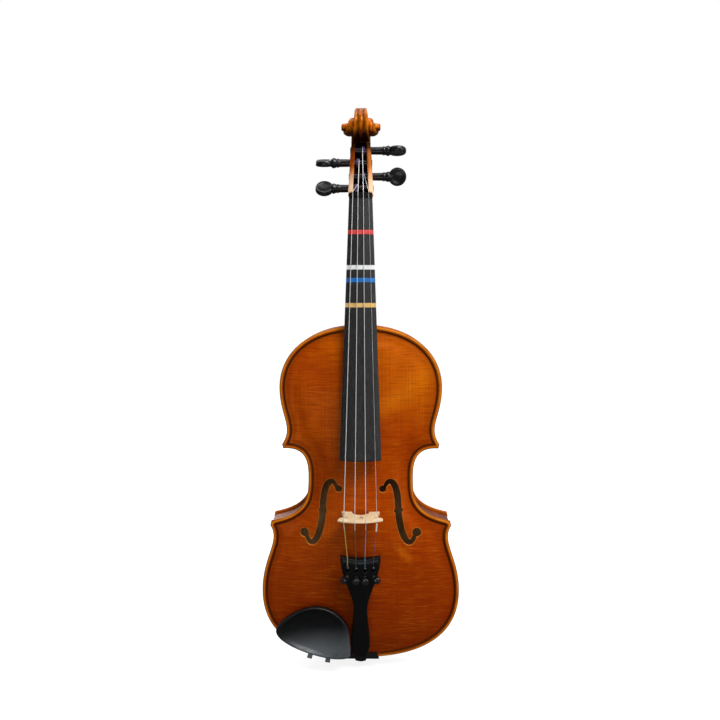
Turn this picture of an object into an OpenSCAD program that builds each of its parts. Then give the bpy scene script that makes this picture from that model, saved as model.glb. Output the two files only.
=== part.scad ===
// Full-size violin with chin rest, fine tuners and finger tapes.
// Frame: +Z up towards the scroll, the front faces -Y, +X is the treble side.
// Origin: centre of the end button's outer face. Units are millimetres.

/* [Body] */
// Length of the body without the button of the back
body_length = 356; // [352:1:360]
// Height of the ribs
rib_height = 31; // [29:0.5:33]
// Thickness of a plate at its edge
edge_thickness = 4; // [3.5:0.1:4.5]
// Rise of the belly and back above their edges
arch_rise = 11.8; // [10.5:0.1:13]
// Thickness of a plate in its middle
plate_thickness = 2.8; // [2.4:0.1:3.2]
// How far the plates stand out beyond the ribs
overhang = 2.8; // [2.4:0.1:3.2]
// Thickness of a rib
rib_thickness = 1.1; // [1:0.05:1.3]

/* [Neck] */
// Free length of the neck, from the body's edge to the nut
neck_length = 130; // [128:1:132]
// Length of the fingerboard
fingerboard_length = 266; // [262:1:270]
// Width of the fingerboard at the nut
nut_width = 24; // [23:0.5:25]
// Width of the fingerboard at its free end
board_end_width = 42.4; // [41:0.2:43]
// Radius of the fingerboard across its width
board_radius = 42; // [41:1:44]

/* [Strings] */
// Distance from the belly's edge line at the bottom to the bridge
bridge_height_on_body = 161; // [159:1:163]
// Distance between the outer strings at the bridge
bridge_spacing = 33.2; // [32:0.2:34]
// Distance between the outer strings at the nut
nut_spacing = 16.4; // [16:0.2:17]

/* [Fittings] */
// How far the end button stands out below the body
button_length = 12; // [10:0.5:13]
// Diameter of the end button
button_diameter = 14; // [13:0.5:15]
// Length of the tailpiece
tail_length = 117; // [115:1:118]
// Diameter of a peg's head
peg_head_diameter = 19; // [17:0.5:20]

/* [Hidden] */
$fn = 48;

// Clearances: a running fit, a glued face on a curved surface, and a cutter's overshoot.
run = 0.05;
glue = 0.3;
over = 1;

// ---------------------------------------------------------------- body outline
// Heights on the body are counted from its bottom edge. The right half of the outline
// is six Bezier curves: two for the upper bout, two for the waist, two for the lower.
upper_half = 84.8;
waist_half = 55;
lower_half = 104.8;
upper_corner = [[82.6, 231.4], [81.4, 227]];
lower_corner = [[94.6, 149.7], [95.9, 144.4]];
upper_curves = [
    [[0, body_length], [56.3, body_length], [upper_half, 326.5], [upper_half, 291]],
    [[upper_half, 291], [upper_half, 260.3], [69.9, 250.3], upper_corner[0]]
];
waist_curves = [
    [upper_corner[1], [58.9, 228.4], [waist_half, 214.5], [waist_half, 198]],
    [[waist_half, 198], [waist_half, 174.5], [56, 157.5], lower_corner[0]]
];
lower_curves = [
    [lower_corner[1], [84.7, 127.2], [lower_half, 110.3], [lower_half, 73]],
    [[lower_half, 73], [lower_half, 24], [65.6, 0], [0, 0]]
];

function unit(v) = v / norm(v);
function reverse(a) = [for (i = [len(a) - 1:-1:0]) a[i]];
function left_of(v) = [-v[1], v[0]];
function mix(a, b, t) = a + (b - a) * t;
function clamp(v) = min(1, max(0, v));
function ease(v) = clamp(v) * clamp(v) * (3 - 2 * clamp(v));
function bezier(c, t) =
    let (s = 1 - t) s * s * s * c[0] + 3 * s * s * t * c[1] + 3 * s * t * t * c[2] + t * t * t * c[3];
function slope(c, t) =
    let (s = 1 - t) s * s * (c[1] - c[0]) + 2 * s * t * (c[2] - c[1]) + t * t * (c[3] - c[2]);

// A curve moved inward by d; the curves run clockwise, so inward is to the right.
function inset_curve(c, d, steps, first = 0) = [
    for (i = [first:steps]) bezier(c, i / steps) - left_of(unit(slope(c, i / steps))) * d
];
function inset_chain(curves, d, steps) =
    concat(inset_curve(curves[0], d, steps), inset_curve(curves[1], d, steps, 1));

// The part of a line of points on the side of a cut that its normal points to.
function clip(pts, at, normal) = [
    for (i = [0:len(pts) - 1])
        let (s = (pts[i] - at) * normal,
             n = i < len(pts) - 1 ? (pts[i + 1] - at) * normal : s)
        each [
            if (s >= 0) pts[i],
            if ((s >= 0) != (n >= 0)) pts[i] + (pts[i + 1] - pts[i]) * s / (s - n)
        ]
];

// Each corner is halved by a mitre line; its normal points up the body.
upper_mitre_at = (upper_corner[0] + upper_corner[1]) / 2;
lower_mitre_at = (lower_corner[0] + lower_corner[1]) / 2;
upper_mitre = left_of(-unit(
    unit(upper_curves[1][2] - upper_curves[1][3]) + unit(waist_curves[0][1] - waist_curves[0][0])));
lower_mitre = left_of(-unit(
    unit(waist_curves[1][2] - waist_curves[1][3]) + unit(lower_curves[0][1] - lower_curves[0][0])));

function upper_line(d, n) = clip(inset_chain(upper_curves, d, n), upper_mitre_at, upper_mitre);
function waist_line(d, n) = clip(
    clip(inset_chain(waist_curves, d, n), upper_mitre_at, -upper_mitre),
    lower_mitre_at, lower_mitre);
function lower_line(d, n) = clip(inset_chain(lower_curves, d, n), lower_mitre_at, -lower_mitre);
function half_outline(d, n) = concat(upper_line(d, n), waist_line(d, n), lower_line(d, n));
function mirrored(pts) = [for (p = pts) [-p[0], p[1]]];
function whole_outline(d, n) =
    let (half = half_outline(d, n)) concat(half, reverse(mirrored([for (p = half) if (p[0] > 0.01) p])));

// ---------------------------------------------------------------- shared placing
// 2D shapes are drawn as (x, height on the body) and stand between two depths.
module on_body() translate([0, 0, button_length]) children();
module slab(y_from, y_to)
    translate([0, y_to, 0]) rotate([90, 0, 0]) linear_extrude(y_to - y_from) children();
module both_sides() {
    children();
    mirror([1, 0, 0]) children();
}

rib_y = rib_height / 2;
edge_y = rib_y + edge_thickness;
curve_steps = 10;

// ---------------------------------------------------------------- arched plates
plate_line = half_outline(0, 8);
plate_rows = [for (p = plate_line) if (p[0] > 9) p];
plate_columns = 9;
// The back carries a half-round button that covers the neck's heel.
button_half = 10.5;
button_rise = 1.5;
button_rows = [for (a = [75, 55, 35, 15, 0])
    [button_half * cos(a), body_length + button_rise + button_half * sin(a)]];
back_rows = concat(button_rows, [for (p = plate_line) if (p[0] > button_half + 1) p]);

function segment_gap(p, a, b) =
    let (ab = b - a, t = clamp((p - a) * ab / (ab * ab))) norm(p - a - ab * t);
function edge_gap(p) =
    let (q = [abs(p[0]), p[1]])
    q[1] > body_length ? 0
    : min([for (i = [0:len(plate_line) - 2]) segment_gap(q, plate_line[i], plate_line[i + 1])]);

// Half-width of the arch at a height: the outline with its corners smoothed away.
arch_half = [
    [0, 20], [8, 58], [20, 80], [40, 97], [73, 105], [105, 100], [135, 82], [165, 62],
    [198, 55], [225, 62], [250, 74], [291, 85], [320, 77], [340, 60], [350, 40], [356, 20]
];
// The arch over the rib plane, without the edge's thickness.
function arch(x, h) =
    let (u = clamp(abs(x) / lookup(h, arch_half)),
         v = min(1, abs(2 * h / body_length - 1)))
    arch_rise * pow(1 - u * u, 1.5) * (1 - pow(v, 3.2));
function outer_height(x, h) =
    edge_thickness + arch(x, h) * ease((edge_gap([x, h]) - 5.5) / 18);
function inner_height(x, h) =
    max(0, (outer_height(x, h) - plate_thickness) * ease((edge_gap([x, h]) - 8) / 9));

// A plate as one closed skin. side is -1 for the belly and 1 for the back.
module arched_plate(side, points) {
    columns = [for (j = [-plate_columns:plate_columns]) sin(90 * j / plate_columns)];
    rows = len(points);
    wide = len(columns);
    outer = [for (p = points) for (c = columns)
        [p[0] * c, side * (rib_y + outer_height(p[0] * c, p[1])), p[1]]];
    inner = [for (p = points) for (c = columns)
        [p[0] * c, side * (rib_y + inner_height(p[0] * c, p[1])), p[1]]];
    lift = rows * wide;
    skin = [for (i = [0:rows - 2]) for (j = [0:wide - 2])
        let (a = i * wide + j) each [[a, a + 1, a + wide], [a + 1, a + wide + 1, a + wide]]];
    rim = concat(
        [for (j = [0:wide - 2]) j],
        [for (i = [0:rows - 2]) i * wide + wide - 1],
        [for (j = [wide - 1:-1:1]) (rows - 1) * wide + j],
        [for (i = [rows - 1:-1:1]) i * wide]);
    walls = [for (k = [0:len(rim) - 1])
        let (a = rim[k], b = rim[(k + 1) % len(rim)])
        each [[a, lift + b, b], [a, lift + a, lift + b]]];
    under = [for (t = skin) [lift + t[0], lift + t[2], lift + t[1]]];
    faces = concat(skin, under, walls);
    polyhedron(concat(outer, inner), side > 0 ? faces : [for (t = faces) reverse(t)]);
}

// ---------------------------------------------------------------- sound holes
// The stem is a stroke of changing width along a curve, with a round eye at each end.
eye_upper = [22.9, 186.6];
eye_upper_radius = 3.5;
eye_lower = [59, 138.6];
eye_lower_radius = 4.6;
stem_curves = [
    [[25.4, 188.2], [27, 197.5], [38.6, 199], [39.5, 166]],
    [[39.5, 166], [40.3, 137.5], [51.5, 117], [56.8, 136]]
];
function stem_half_width(t) = 1.2 + 2.4 * pow(sin(180 * t), 0.7);
module sound_hole() {
    steps = 9;
    line = [for (c = [0, 1]) for (i = [c:steps])
        [bezier(stem_curves[c], i / steps), slope(stem_curves[c], i / steps), (c + i / steps) / 2]];
    sides = [for (s = [-1, 1]) [for (p = line) p[0] + left_of(unit(p[1])) * s * stem_half_width(p[2])]];
    polygon(concat(sides[0], reverse(sides[1])));
    translate(eye_upper) circle(eye_upper_radius);
    translate(eye_lower) circle(eye_lower_radius);
    translate([39.7, 162.5]) polygon([[-5.4, 0], [0, 2.2], [5.4, 0], [0, -2.2]]);
}

// ---------------------------------------------------------------- neck profile
nut_h = body_length + neck_length;
board_drop = 0.1154;
board_crown_at_nut = -(edge_y + 1);
function board_crown(h) = board_crown_at_nut - (nut_h - h) * board_drop;
board_edge_thickness = 5;
function sagitta(half, radius) = radius - sqrt(radius * radius - half * half);
board_end_h = nut_h - fingerboard_length;
function board_half(h) = mix(nut_width, board_end_width, (nut_h - h) / fingerboard_length) / 2;
glue_at_nut = board_crown(nut_h) + board_edge_thickness + sagitta(nut_width / 2, board_radius);
glue_at_end = board_crown(board_end_h) + board_edge_thickness + sagitta(board_end_width / 2, board_radius);
function glue_plane(h) = mix(glue_at_nut, glue_at_end, (nut_h - h) / fingerboard_length);

// Heel in its mortise in the block: wide at the front, narrow at the button.
heel_depth = 7;
heel_lap = 3;
heel_front = glue_plane(body_length + heel_lap);
heel_front_half = 16.4;
heel_back_half = 10.6;
module heel_section(grow = 0)
    polygon([
        [-heel_front_half - grow, heel_front],
        [heel_front_half + grow, heel_front],
        [heel_back_half + grow, rib_y],
        [-heel_back_half - grow, rib_y]
    ]);
module mortise() translate([0, 0, body_length - heel_depth]) linear_extrude(40) heel_section();

// Height up the neck: front face, back face, half width and squareness of the section.
back_profile = [
    [body_length, rib_y], [body_length + 10, rib_y - 1.5], [body_length + 14, 9], [body_length + 18, 0.5],
    [body_length + 23, -6], [body_length + 30, -9.6], [body_length + 42, -10.6], [nut_h - 40, -6.8],
    [nut_h - 10, -3], [nut_h - 2, -1.4], [nut_h + 5, 2.8], [nut_h + 14, 7.4], [nut_h + 26, 10.2],
    [nut_h + 42, 12.2], [nut_h + 54, 14], [nut_h + 62, 17]
];
box_front_at_nut = -13.4;
box_front_rise = 0.233;
function box_front(h) = box_front_at_nut + (h - nut_h) * box_front_rise;
function neck_front(h) = h > nut_h + 5.5 ? box_front(h) : h > nut_h - 0.1 ? glue_at_nut : glue_plane(h);
width_profile = [
    [body_length, heel_front_half], [nut_h, nut_width / 2], [nut_h + 4, 13], [nut_h + 52, 10.6],
    [nut_h + 62, 9]
];
square_profile = [
    [body_length, 2.3], [body_length + 30, 2], [nut_h - 12, 2], [nut_h + 6, 3], [nut_h + 20, 4],
    [nut_h + 62, 4]
];
neck_stations = concat(
    [for (k = [0:12]) body_length + k * 3],
    [for (k = [1:5]) body_length + 36 + k * 16],
    [for (above = [-8, -4, 0, 5.4, 5.6, 9, 14, 20]) nut_h + above],
    [for (k = [1:6]) nut_h + 20 + k * 7]);
arc_steps = 12;
module neck_loft() {
    ring = arc_steps + 1;
    pts = [for (h = neck_stations)
        let (front = neck_front(h), deep = lookup(h, back_profile) - front,
             half = lookup(h, width_profile), power = 2 / lookup(h, square_profile))
        for (k = [0:arc_steps])
            let (a = 180 * k / arc_steps)
            [half * sign(cos(a)) * pow(abs(cos(a)), power), front + deep * pow(abs(sin(a)), power), h]];
    last = len(neck_stations) - 1;
    skin = [for (i = [0:last - 1]) for (k = [0:ring - 1])
        let (a = i * ring + k, b = i * ring + (k + 1) % ring)
        each [[a, a + ring, b], [b, a + ring, b + ring]]];
    caps = [[for (k = [0:ring - 1]) k], [for (k = [ring - 1:-1:0]) last * ring + k]];
    polyhedron(pts, concat(skin, caps));
}

// ---------------------------------------------------------------- scroll
eye_h = 559;
eye_y = 8;
eye_half = 20.4;
function volute_radius(a) = lookup(a, [[0, 21.5], [60, 23], [90, 22.5], [180, 18.5], [270, 14.5]]);
volute = [for (a = [0:10:260]) [eye_y + volute_radius(a) * cos(a), eye_h + volute_radius(a) * sin(a)]];
module volute_slab(half, pts)
    rotate([90, 0, 90]) translate([0, 0, -half]) linear_extrude(2 * half) polygon(pts);
module turn(radius, half)
    translate([-half, eye_y, eye_h]) rotate([0, 90, 0]) cylinder(h = 2 * half, r = radius);
// The volute leaves the pegbox's back in three points and comes back to it in front.
volute_back = [[10, nut_h + 50], [19, nut_h + 61], [25, nut_h + 66]];
volute_chin = [3, nut_h + 54];
volute_half = 7;
// Radius and half width of each turn inside the volute.
turns = [[14, 10.5], [10.5, 14], [7.4, eye_half]];
module scroll() {
    volute_slab(volute_half, concat(volute_back, volute, [volute_chin]));
    for (t = turns) turn(t[0], t[1]);
}

// ---------------------------------------------------------------- pegs
// Height above the nut, side of the head, and depth of each peg's axis.
peg_names = ["g", "d", "a", "e"];
peg_h = [nut_h + 12, nut_h + 39, nut_h + 52, nut_h + 24.5];
peg_side = [-1, -1, 1, 1];
peg_y = [-1.5, 3.8, 6, 1.4];
peg_radius = 3.9;
peg_taper = 1 / 60;
peg_out = 47.5;
// How far each head is turned from facing the front.
peg_turn = [40, 72, 82, 8];
module peg_frame(i)
    translate([0, peg_y[i], peg_h[i]]) rotate([0, 90 * peg_side[i], 0]) children();
// The taper is thickest at the head's end of the pegbox, 12 mm from the centre line.
function taper_radius(along) = peg_radius - (12 - along) * peg_taper;
module taper(from, to, grow)
    translate([0, 0, from])
        cylinder(h = to - from, r1 = taper_radius(from) + grow, r2 = taper_radius(to) + grow);
// Two rings and the foot of the head, as (radius, distance along the peg).
collar_from = 23;
collar_profile = [
    [0, 0], [4.2, 0], [4.7, 0.5], [4.7, 1.5], [4.3, 2], [4.3, 2.6], [4.8, 3.2], [4.8, 4.2],
    [5.4, 5.6], [4.6, 7.5], [3, 10], [0, 10]
];
module peg(i) {
    wall = lookup(peg_h[i], width_profile);
    head_at = peg_out - peg_head_diameter / 2;
    on_body() peg_frame(i) {
        taper(-wall - 0.6, collar_from, 0);
        translate([0, 0, collar_from]) rotate_extrude() polygon(collar_profile);
        translate([0, 0, head_at]) rotate([0, 0, peg_turn[i]]) translate([0, 3, 0]) rotate([90, 0, 0])
            cylinder(h = 6, r = peg_head_diameter / 2);
    }
}

// ---------------------------------------------------------------- strings
// Order everywhere: G, D, A, E.
string_radius = [0.4, 0.37, 0.34, 0.15];
string_place = [-1, -1 / 3, 1 / 3, 1];
bridge_crown = 43.8;
bridge_radius = 38;
bridge_tilt = 1;
function crown_height(x) = edge_y + bridge_crown - sagitta(abs(x), bridge_radius) - bridge_tilt * x / 16.6;
nut_length = 5.5;
nut_rise = 0.5;
function nut_top(x) = -(board_crown_at_nut - nut_rise) - sagitta(abs(x), board_radius);
coil_at = [-3.4, -1.8, 1.6, 3.2];
coil_turns = [3, 3, 3, 4];
coil_steps = 12;

// Tailpiece frame: its top end's crown line, leaning back towards the body.
tail_top_h = 121;
tail_top_y = -53;
tail_tilt = 10.8;
tail_crown = 90;
function tail_point(x, y, z) = [
    x,
    tail_top_y + y * cos(tail_tilt) - z * sin(tail_tilt),
    tail_top_h + z * cos(tail_tilt) + y * sin(tail_tilt)
];
tuner_x = [-13.2, -4.6, 4.6, 13.2];
function tail_surface(x) = sagitta(abs(x), tail_crown);
ball_z = -11.9;

function string_path(i) =
    let (r = string_radius[i], xb = string_place[i] * bridge_spacing / 2,
         xn = string_place[i] * nut_spacing / 2,
         over_bridge = -crown_height(xb) - r - 0.04, over_nut = -nut_top(xn) - r - 0.04,
         exit = [xn, over_nut, nut_h + nut_length + 0.4], low = tail_surface(tuner_x[i]),
         rc = taper_radius(abs(coil_at[i]) + 4) + r + 0.12,
         ey = exit[1] - peg_y[i], ez = exit[2] - peg_h[i], far = norm([ey, ez]),
         start = atan2(ez, -ey) + acos(rc / far),
         pitch = 2 * r + 0.1, way = sign(coil_at[i]))
    concat(
        [tail_point(tuner_x[i], low + 0.6, ball_z), tail_point(tuner_x[i], low + 0.4, -1)],
        [[xb, over_bridge, bridge_height_on_body - 0.9], [xb, over_bridge, bridge_height_on_body + 0.9]],
        [[xn, over_nut, nut_h + 0.4], exit],
        [for (k = [0:coil_turns[i] * coil_steps])
            let (a = start + 360 * k / coil_steps)
            [coil_at[i] + way * pitch * k / coil_steps, peg_y[i] - rc * cos(a), peg_h[i] + rc * sin(a)]]);

// A round tube along a line of points. The reference is never parallel to the path.
module tube(path, radius, sides = 6, reference = [1, 0, 0]) {
    last = len(path) - 1;
    pts = [for (k = [0:last])
        let (along = unit(k == 0 ? path[1] - path[0] : k == last ? path[k] - path[k - 1]
                 : unit(path[k] - path[k - 1]) + unit(path[k + 1] - path[k])),
             side_way = unit(cross(reference, along)), up = cross(along, side_way))
        for (s = [0:sides - 1])
            let (a = 360 * s / sides) path[k] + radius * (side_way * cos(a) + up * sin(a))];
    skin = [for (k = [0:last - 1]) for (s = [0:sides - 1])
        let (a = k * sides + s, b = k * sides + (s + 1) % sides)
        each [[a, a + sides, b], [b, a + sides, b + sides]]];
    caps = [[for (s = [0:sides - 1]) s], [for (s = [sides - 1:-1:0]) last * sides + s]];
    polyhedron(pts, concat(skin, caps));
}
module string(i) on_body() {
    tube(string_path(i), string_radius[i]);
    translate(string_path(i)[0]) rotate([0, 90, 0]) cylinder(h = 2.8, r = 1.7, center = true);
}

// ---------------------------------------------------------------- body sub-parts
wood_spruce = [0.72, 0.36, 0.12];
wood_maple = [0.5, 0.2, 0.07];
ebony = [0.06, 0.06, 0.07];
steel = [0.75, 0.76, 0.78];
pale_wood = [0.86, 0.74, 0.54];
rib_in = overhang + rib_thickness;
lining_thickness = 2;
lining_height = 7;
purfling_inset = 4.2;
purfling_width = 1.3;
purfling_depth = 1.2;
saddle_shape = [[-19.5, 0.35], [19.5, 0.35], [17.5, 6.5], [-17.5, 6.5]];
saddle_top = 3.2;

module purfling_shape(grow) difference() {
    polygon(whole_outline(purfling_inset - grow, curve_steps));
    polygon(whole_outline(purfling_inset + purfling_width + grow, curve_steps));
}
// The band is interrupted where the neck and the saddle are let into the belly.
module purfling_stop() {
    translate([-19, body_length - 9]) square([38, 20]);
    translate([-22, -1]) square([44, 9]);
}

module belly() color(wood_spruce) on_body() difference() {
    arched_plate(-1, plate_rows);
    both_sides() slab(-edge_y - 20, -rib_y + over) sound_hole();
    translate([0, 0, body_length - heel_depth]) linear_extrude(20) heel_section(run);
    slab(-edge_y - over, -rib_y + over) saddle_notch();
    slab(-edge_y - over, -edge_y + purfling_depth + 0.02) difference() {
        purfling_shape(0.02);
        purfling_stop();
    }
}
module saddle_notch() {
    side = [for (p = [saddle_shape[1], saddle_shape[2]]) [p[0] + run, p[1]]];
    half = concat([[side[0][0], -5]], [side[0]], [[side[1][0], side[1][1] + run]]);
    polygon(concat(half, reverse([for (p = half) [-p[0], p[1]]])));
}

module back() color(wood_maple) on_body() difference() {
    arched_plate(1, back_rows);
    slab(edge_y - purfling_depth - 0.02, edge_y + over) purfling_shape(0.02);
}
module belly_purfling() color([0.12, 0.06, 0.03]) on_body()
    slab(-edge_y, -edge_y + purfling_depth) difference() {
        purfling_shape(0);
        purfling_stop();
    }
module back_purfling() color([0.12, 0.06, 0.03]) on_body()
    slab(edge_y - purfling_depth, edge_y) purfling_shape(0);

module rib(outer, inner) color(wood_maple) on_body() difference() {
    slab(-rib_y, rib_y) polygon(concat(outer, reverse(inner)));
    mortise();
    translate([0, 0, -over]) cylinder(h = 20, r = button_shank + 0.02);
}
module rib_upper_treble() rib(upper_line(overhang, curve_steps), upper_line(rib_in, curve_steps));
module rib_upper_bass() mirror([1, 0, 0]) rib_upper_treble();
module rib_waist_treble() rib(waist_line(overhang, curve_steps), waist_line(rib_in, curve_steps));
module rib_waist_bass() mirror([1, 0, 0]) rib_waist_treble();
module rib_lower_treble() rib(lower_line(overhang, curve_steps), lower_line(rib_in, curve_steps));
module rib_lower_bass() mirror([1, 0, 0]) rib_lower_treble();

module neck_block_shape() translate([-25.5, body_length - 22]) square([51, 30]);
module end_block_shape() translate([-25, -5]) square([50, 24]);
module corner_block_shapes() both_sides() {
    polygon([[73, 256], [120, 256], [120, 209], [57, 209]]);
    polygon([[59, 168], [120, 168], [120, 118], [84, 118]]);
}
module inside_ribs() polygon(whole_outline(rib_in, curve_steps));
module neck_block() color(pale_wood) on_body() difference() {
    slab(-rib_y, rib_y) intersection() {
        inside_ribs();
        neck_block_shape();
    }
    mortise();
}
module end_block() color(pale_wood) on_body() difference() {
    slab(-rib_y, rib_y) intersection() {
        inside_ribs();
        end_block_shape();
    }
    translate([0, 0, -over]) cylinder(h = 30, r = button_shank + 0.02);
}
module corner_blocks() color(pale_wood) on_body() slab(-rib_y, rib_y) intersection() {
    inside_ribs();
    corner_block_shapes();
}
module linings(y_from) color(pale_wood) on_body() slab(y_from, y_from + lining_height) difference() {
    inside_ribs();
    polygon(whole_outline(rib_in + lining_thickness, curve_steps));
    neck_block_shape();
    end_block_shape();
    corner_block_shapes();
}
module linings_front() linings(-rib_y);
module linings_back() linings(rib_y - lining_height);

bar_from = [-18, 45];
bar_to = [-13, 315];
bar_half = 2.7;
module bass_bar() color(pale_wood) on_body() {
    steps = 16;
    pts = [for (k = [0:steps])
        let (at = mix(bar_from, bar_to, k / steps), deep = 2.5 + 8.5 * sin(180 * k / steps))
        for (side = [-1, 1])
            let (x = at[0] + side * bar_half, y = -rib_y - inner_height(x, at[1]) + glue)
            each [[x, y, at[1]], [x, y + deep, at[1]]]];
    order = [0, 1, 3, 2];
    skin = [for (k = [0:steps - 1]) for (m = [0:3])
        let (a = 4 * k + order[m], b = 4 * k + order[(m + 1) % 4])
        each [[a, b, a + 4], [b, b + 4, a + 4]]];
    polyhedron(pts, concat(skin, [[2, 3, 1, 0], [for (m = order) 4 * steps + m]]));
}
post_x = 17;
post_h = bridge_height_on_body - 7;
module sound_post() color(pale_wood) on_body() {
    reach = rib_y + inner_height(post_x, post_h) - 0.55;
    translate([post_x, reach, post_h]) rotate([90, 0, 0]) cylinder(h = 2 * reach, r = 3);
}

// ---------------------------------------------------------------- neck sub-parts
module neck_and_scroll() color(wood_maple) on_body() difference() {
    union() {
        neck_loft();
        translate([0, 0, body_length - heel_depth]) linear_extrude(heel_depth + heel_lap) heel_section();
        scroll();
    }
    pegbox_hollow();
    for (i = [0:3]) peg_frame(i) taper(-20, 20, run);
}
// The pegbox is open in front; its floor follows the back, about 3 mm inside it.
hollow_low = nut_h + 6.5;
hollow_high = nut_h + 59.5;
hollow_half_low = 8.2;
hollow_half_high = 5.6;
hollow_floor = [
    [0.2, hollow_low], [2.7, nut_h + 9], [3.7, nut_h + 12], [5, nut_h + 19], [6.9, nut_h + 29],
    [8.8, nut_h + 39], [10.3, nut_h + 49], [11.5, hollow_high]
];
module pegbox_hollow() intersection() {
    rotate([90, 0, 90]) translate([0, 0, -20]) linear_extrude(40)
        polygon(concat([[-30, hollow_low]], hollow_floor, [[-30, hollow_high]]));
    slab(-40, 20) polygon([
        [-hollow_half_low, hollow_low], [hollow_half_low, hollow_low],
        [hollow_half_high, hollow_high], [-hollow_half_high, hollow_high]
    ]);
}
module board_frame() translate([0, board_crown_at_nut, nut_h]) rotate([-atan(board_drop), 0, 0]) children();
module board_round(radius) board_frame() translate([0, board_radius, -fingerboard_length - 20])
    cylinder(h = fingerboard_length + 40, r = radius, $fn = 96);
module board_plan(from, to) slab(-80, 0)
    polygon([
        [-board_half(from), from], [board_half(from), from],
        [board_half(to), to], [-board_half(to), to]
    ]);
// The part over the belly is hollowed from behind.
hollow_radius = 24;
hollow_depth = 3;
hollow_length = 130;
glue_line = 0.02;
module fingerboard() color(ebony) on_body() difference() {
    intersection() {
        board_round(board_radius);
        board_plan(board_end_h, nut_h);
        rotate([90, 0, 90]) translate([0, 0, -40]) linear_extrude(80) polygon([
            [glue_at_nut - glue_line, nut_h], [glue_at_end - glue_line, board_end_h],
            [-80, board_end_h], [-80, nut_h]
        ]);
    }
    translate([0, glue_at_end + hollow_radius - hollow_depth, board_end_h])
        rotate([-atan((glue_at_nut - glue_at_end) / fingerboard_length), 0, 0])
            translate([0, 0, -20]) cylinder(h = hollow_length + 20, r = hollow_radius);
}
module nut() color(ebony) on_body() intersection() {
    board_center = board_crown_at_nut + board_radius;
    translate([0, board_center, nut_h]) cylinder(h = nut_length, r = board_radius + nut_rise, $fn = 96);
    slab(-40, glue_at_nut) translate([-nut_width / 2, nut_h]) square([nut_width, nut_length]);
}
tape_thickness = 0.12;
tape_width = 4.4;
module tape(below_nut) on_body() difference() {
    intersection() {
        board_round(board_radius + tape_thickness);
        board_plan(nut_h - below_nut - tape_width / 2, nut_h - below_nut + tape_width / 2);
        translate([-40, -80, 0]) cube([80, 80 + glue_at_nut - 7, nut_h]);
    }
    board_round(board_radius);
}
// The tapes mark a whole tone, a major third, a fourth and a fifth.
module tape_red() color([0.8, 0.1, 0.1]) tape(34.8);
module tape_white() color([0.9, 0.9, 0.9]) tape(70.6);
module tape_blue() color([0.1, 0.35, 0.75]) tape(83.5);
module tape_yellow() color([0.95, 0.85, 0.15]) tape(108.9);
module peg_g() color(ebony) peg(0);
module peg_d() color(ebony) peg(1);
module peg_a() color(ebony) peg(2);
module peg_e() color(ebony) peg(3);

// ---------------------------------------------------------------- fittings
module saddle() color(ebony) on_body() slab(-edge_y - saddle_top, -rib_y) polygon(saddle_shape);

button_shank = 3.75;
button_radius = button_diameter / 2;
module end_button() color(ebony) {
    collar_end = button_length + overhang - run;
    cylinder(h = button_length - 6, r = button_radius);
    cylinder(h = collar_end, r = 5);
    translate([0, 0, button_length - 2.4]) cylinder(h = collar_end - button_length + 2.4, r = 6.2);
    cylinder(h = button_length + 18, r = button_shank);
}

gut_radius = 1;
gut_x = 4.5;
gut_loop = 5 + gut_radius + 0.1;
gut_level = -4;
module tail_gut() color([0.1, 0.1, 0.1]) on_body() {
    strand = [
        tail_point(gut_x, 4, 6 - tail_length + 7), tail_point(gut_x, 4, -tail_length - 1.3),
        [gut_x, -edge_y - saddle_top - 1.9, 2.2], [gut_x, -edge_y - saddle_top - 1.3, -1.4]];
    loop = [for (a = [0:15:180]) [gut_loop * cos(a), gut_loop * sin(a), gut_level]];
    tube(concat(strand, loop, reverse([for (p = strand) [-p[0], p[1], p[2]]])),
        gut_radius, 8, [0, 1, 1]);
}

tail_thickness = 7;
tail_curves = [
    [[20.8, 0], [20, -27], [8, -40], [7, -60]],
    [[7, -60], [7, -75], [9.8, -88], [9.8, -101]],
    [[9.8, -101], [9.8, -111], [6, -tail_length], [0, -tail_length]]
];
module in_tail_frame()
    on_body() translate([0, tail_top_y, tail_top_h]) rotate([tail_tilt, 0, 0]) children();
module tail_outline() {
    side = concat(
        [for (t = [0:0.125:1]) bezier(tail_curves[0], t)],
        [for (t = [0.2:0.2:1]) bezier(tail_curves[1], t)],
        [for (t = [0.2:0.2:1]) bezier(tail_curves[2], t)]);
    difference() {
        polygon(concat(side, reverse(mirrored([for (p = side) if (p[0] > 0.01) p]))));
        translate([0, 78]) circle(80, $fn = 96);
    }
}
cavity_half = 1.9;
cavity_top = 2.6;
screw_z = -22;
screw_x = [-13.9, -4.6, 4.6, 13.9];
screw_splay = [-24, 0, 0, 24];
pin_z = -9;
pin_radius = 0.9;
pin_half = 3.7;
function pin_y(i) = tail_surface(tuner_x[i]) + 3.4;
module screw_frame(i)
    translate([screw_x[i], tail_surface(screw_x[i]), screw_z]) rotate([0, 0, screw_splay[i]])
        rotate([90, 0, 0]) children();
bush_radius = 2;
bush_from = -0.85;
bush_to = 1.1;
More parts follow.
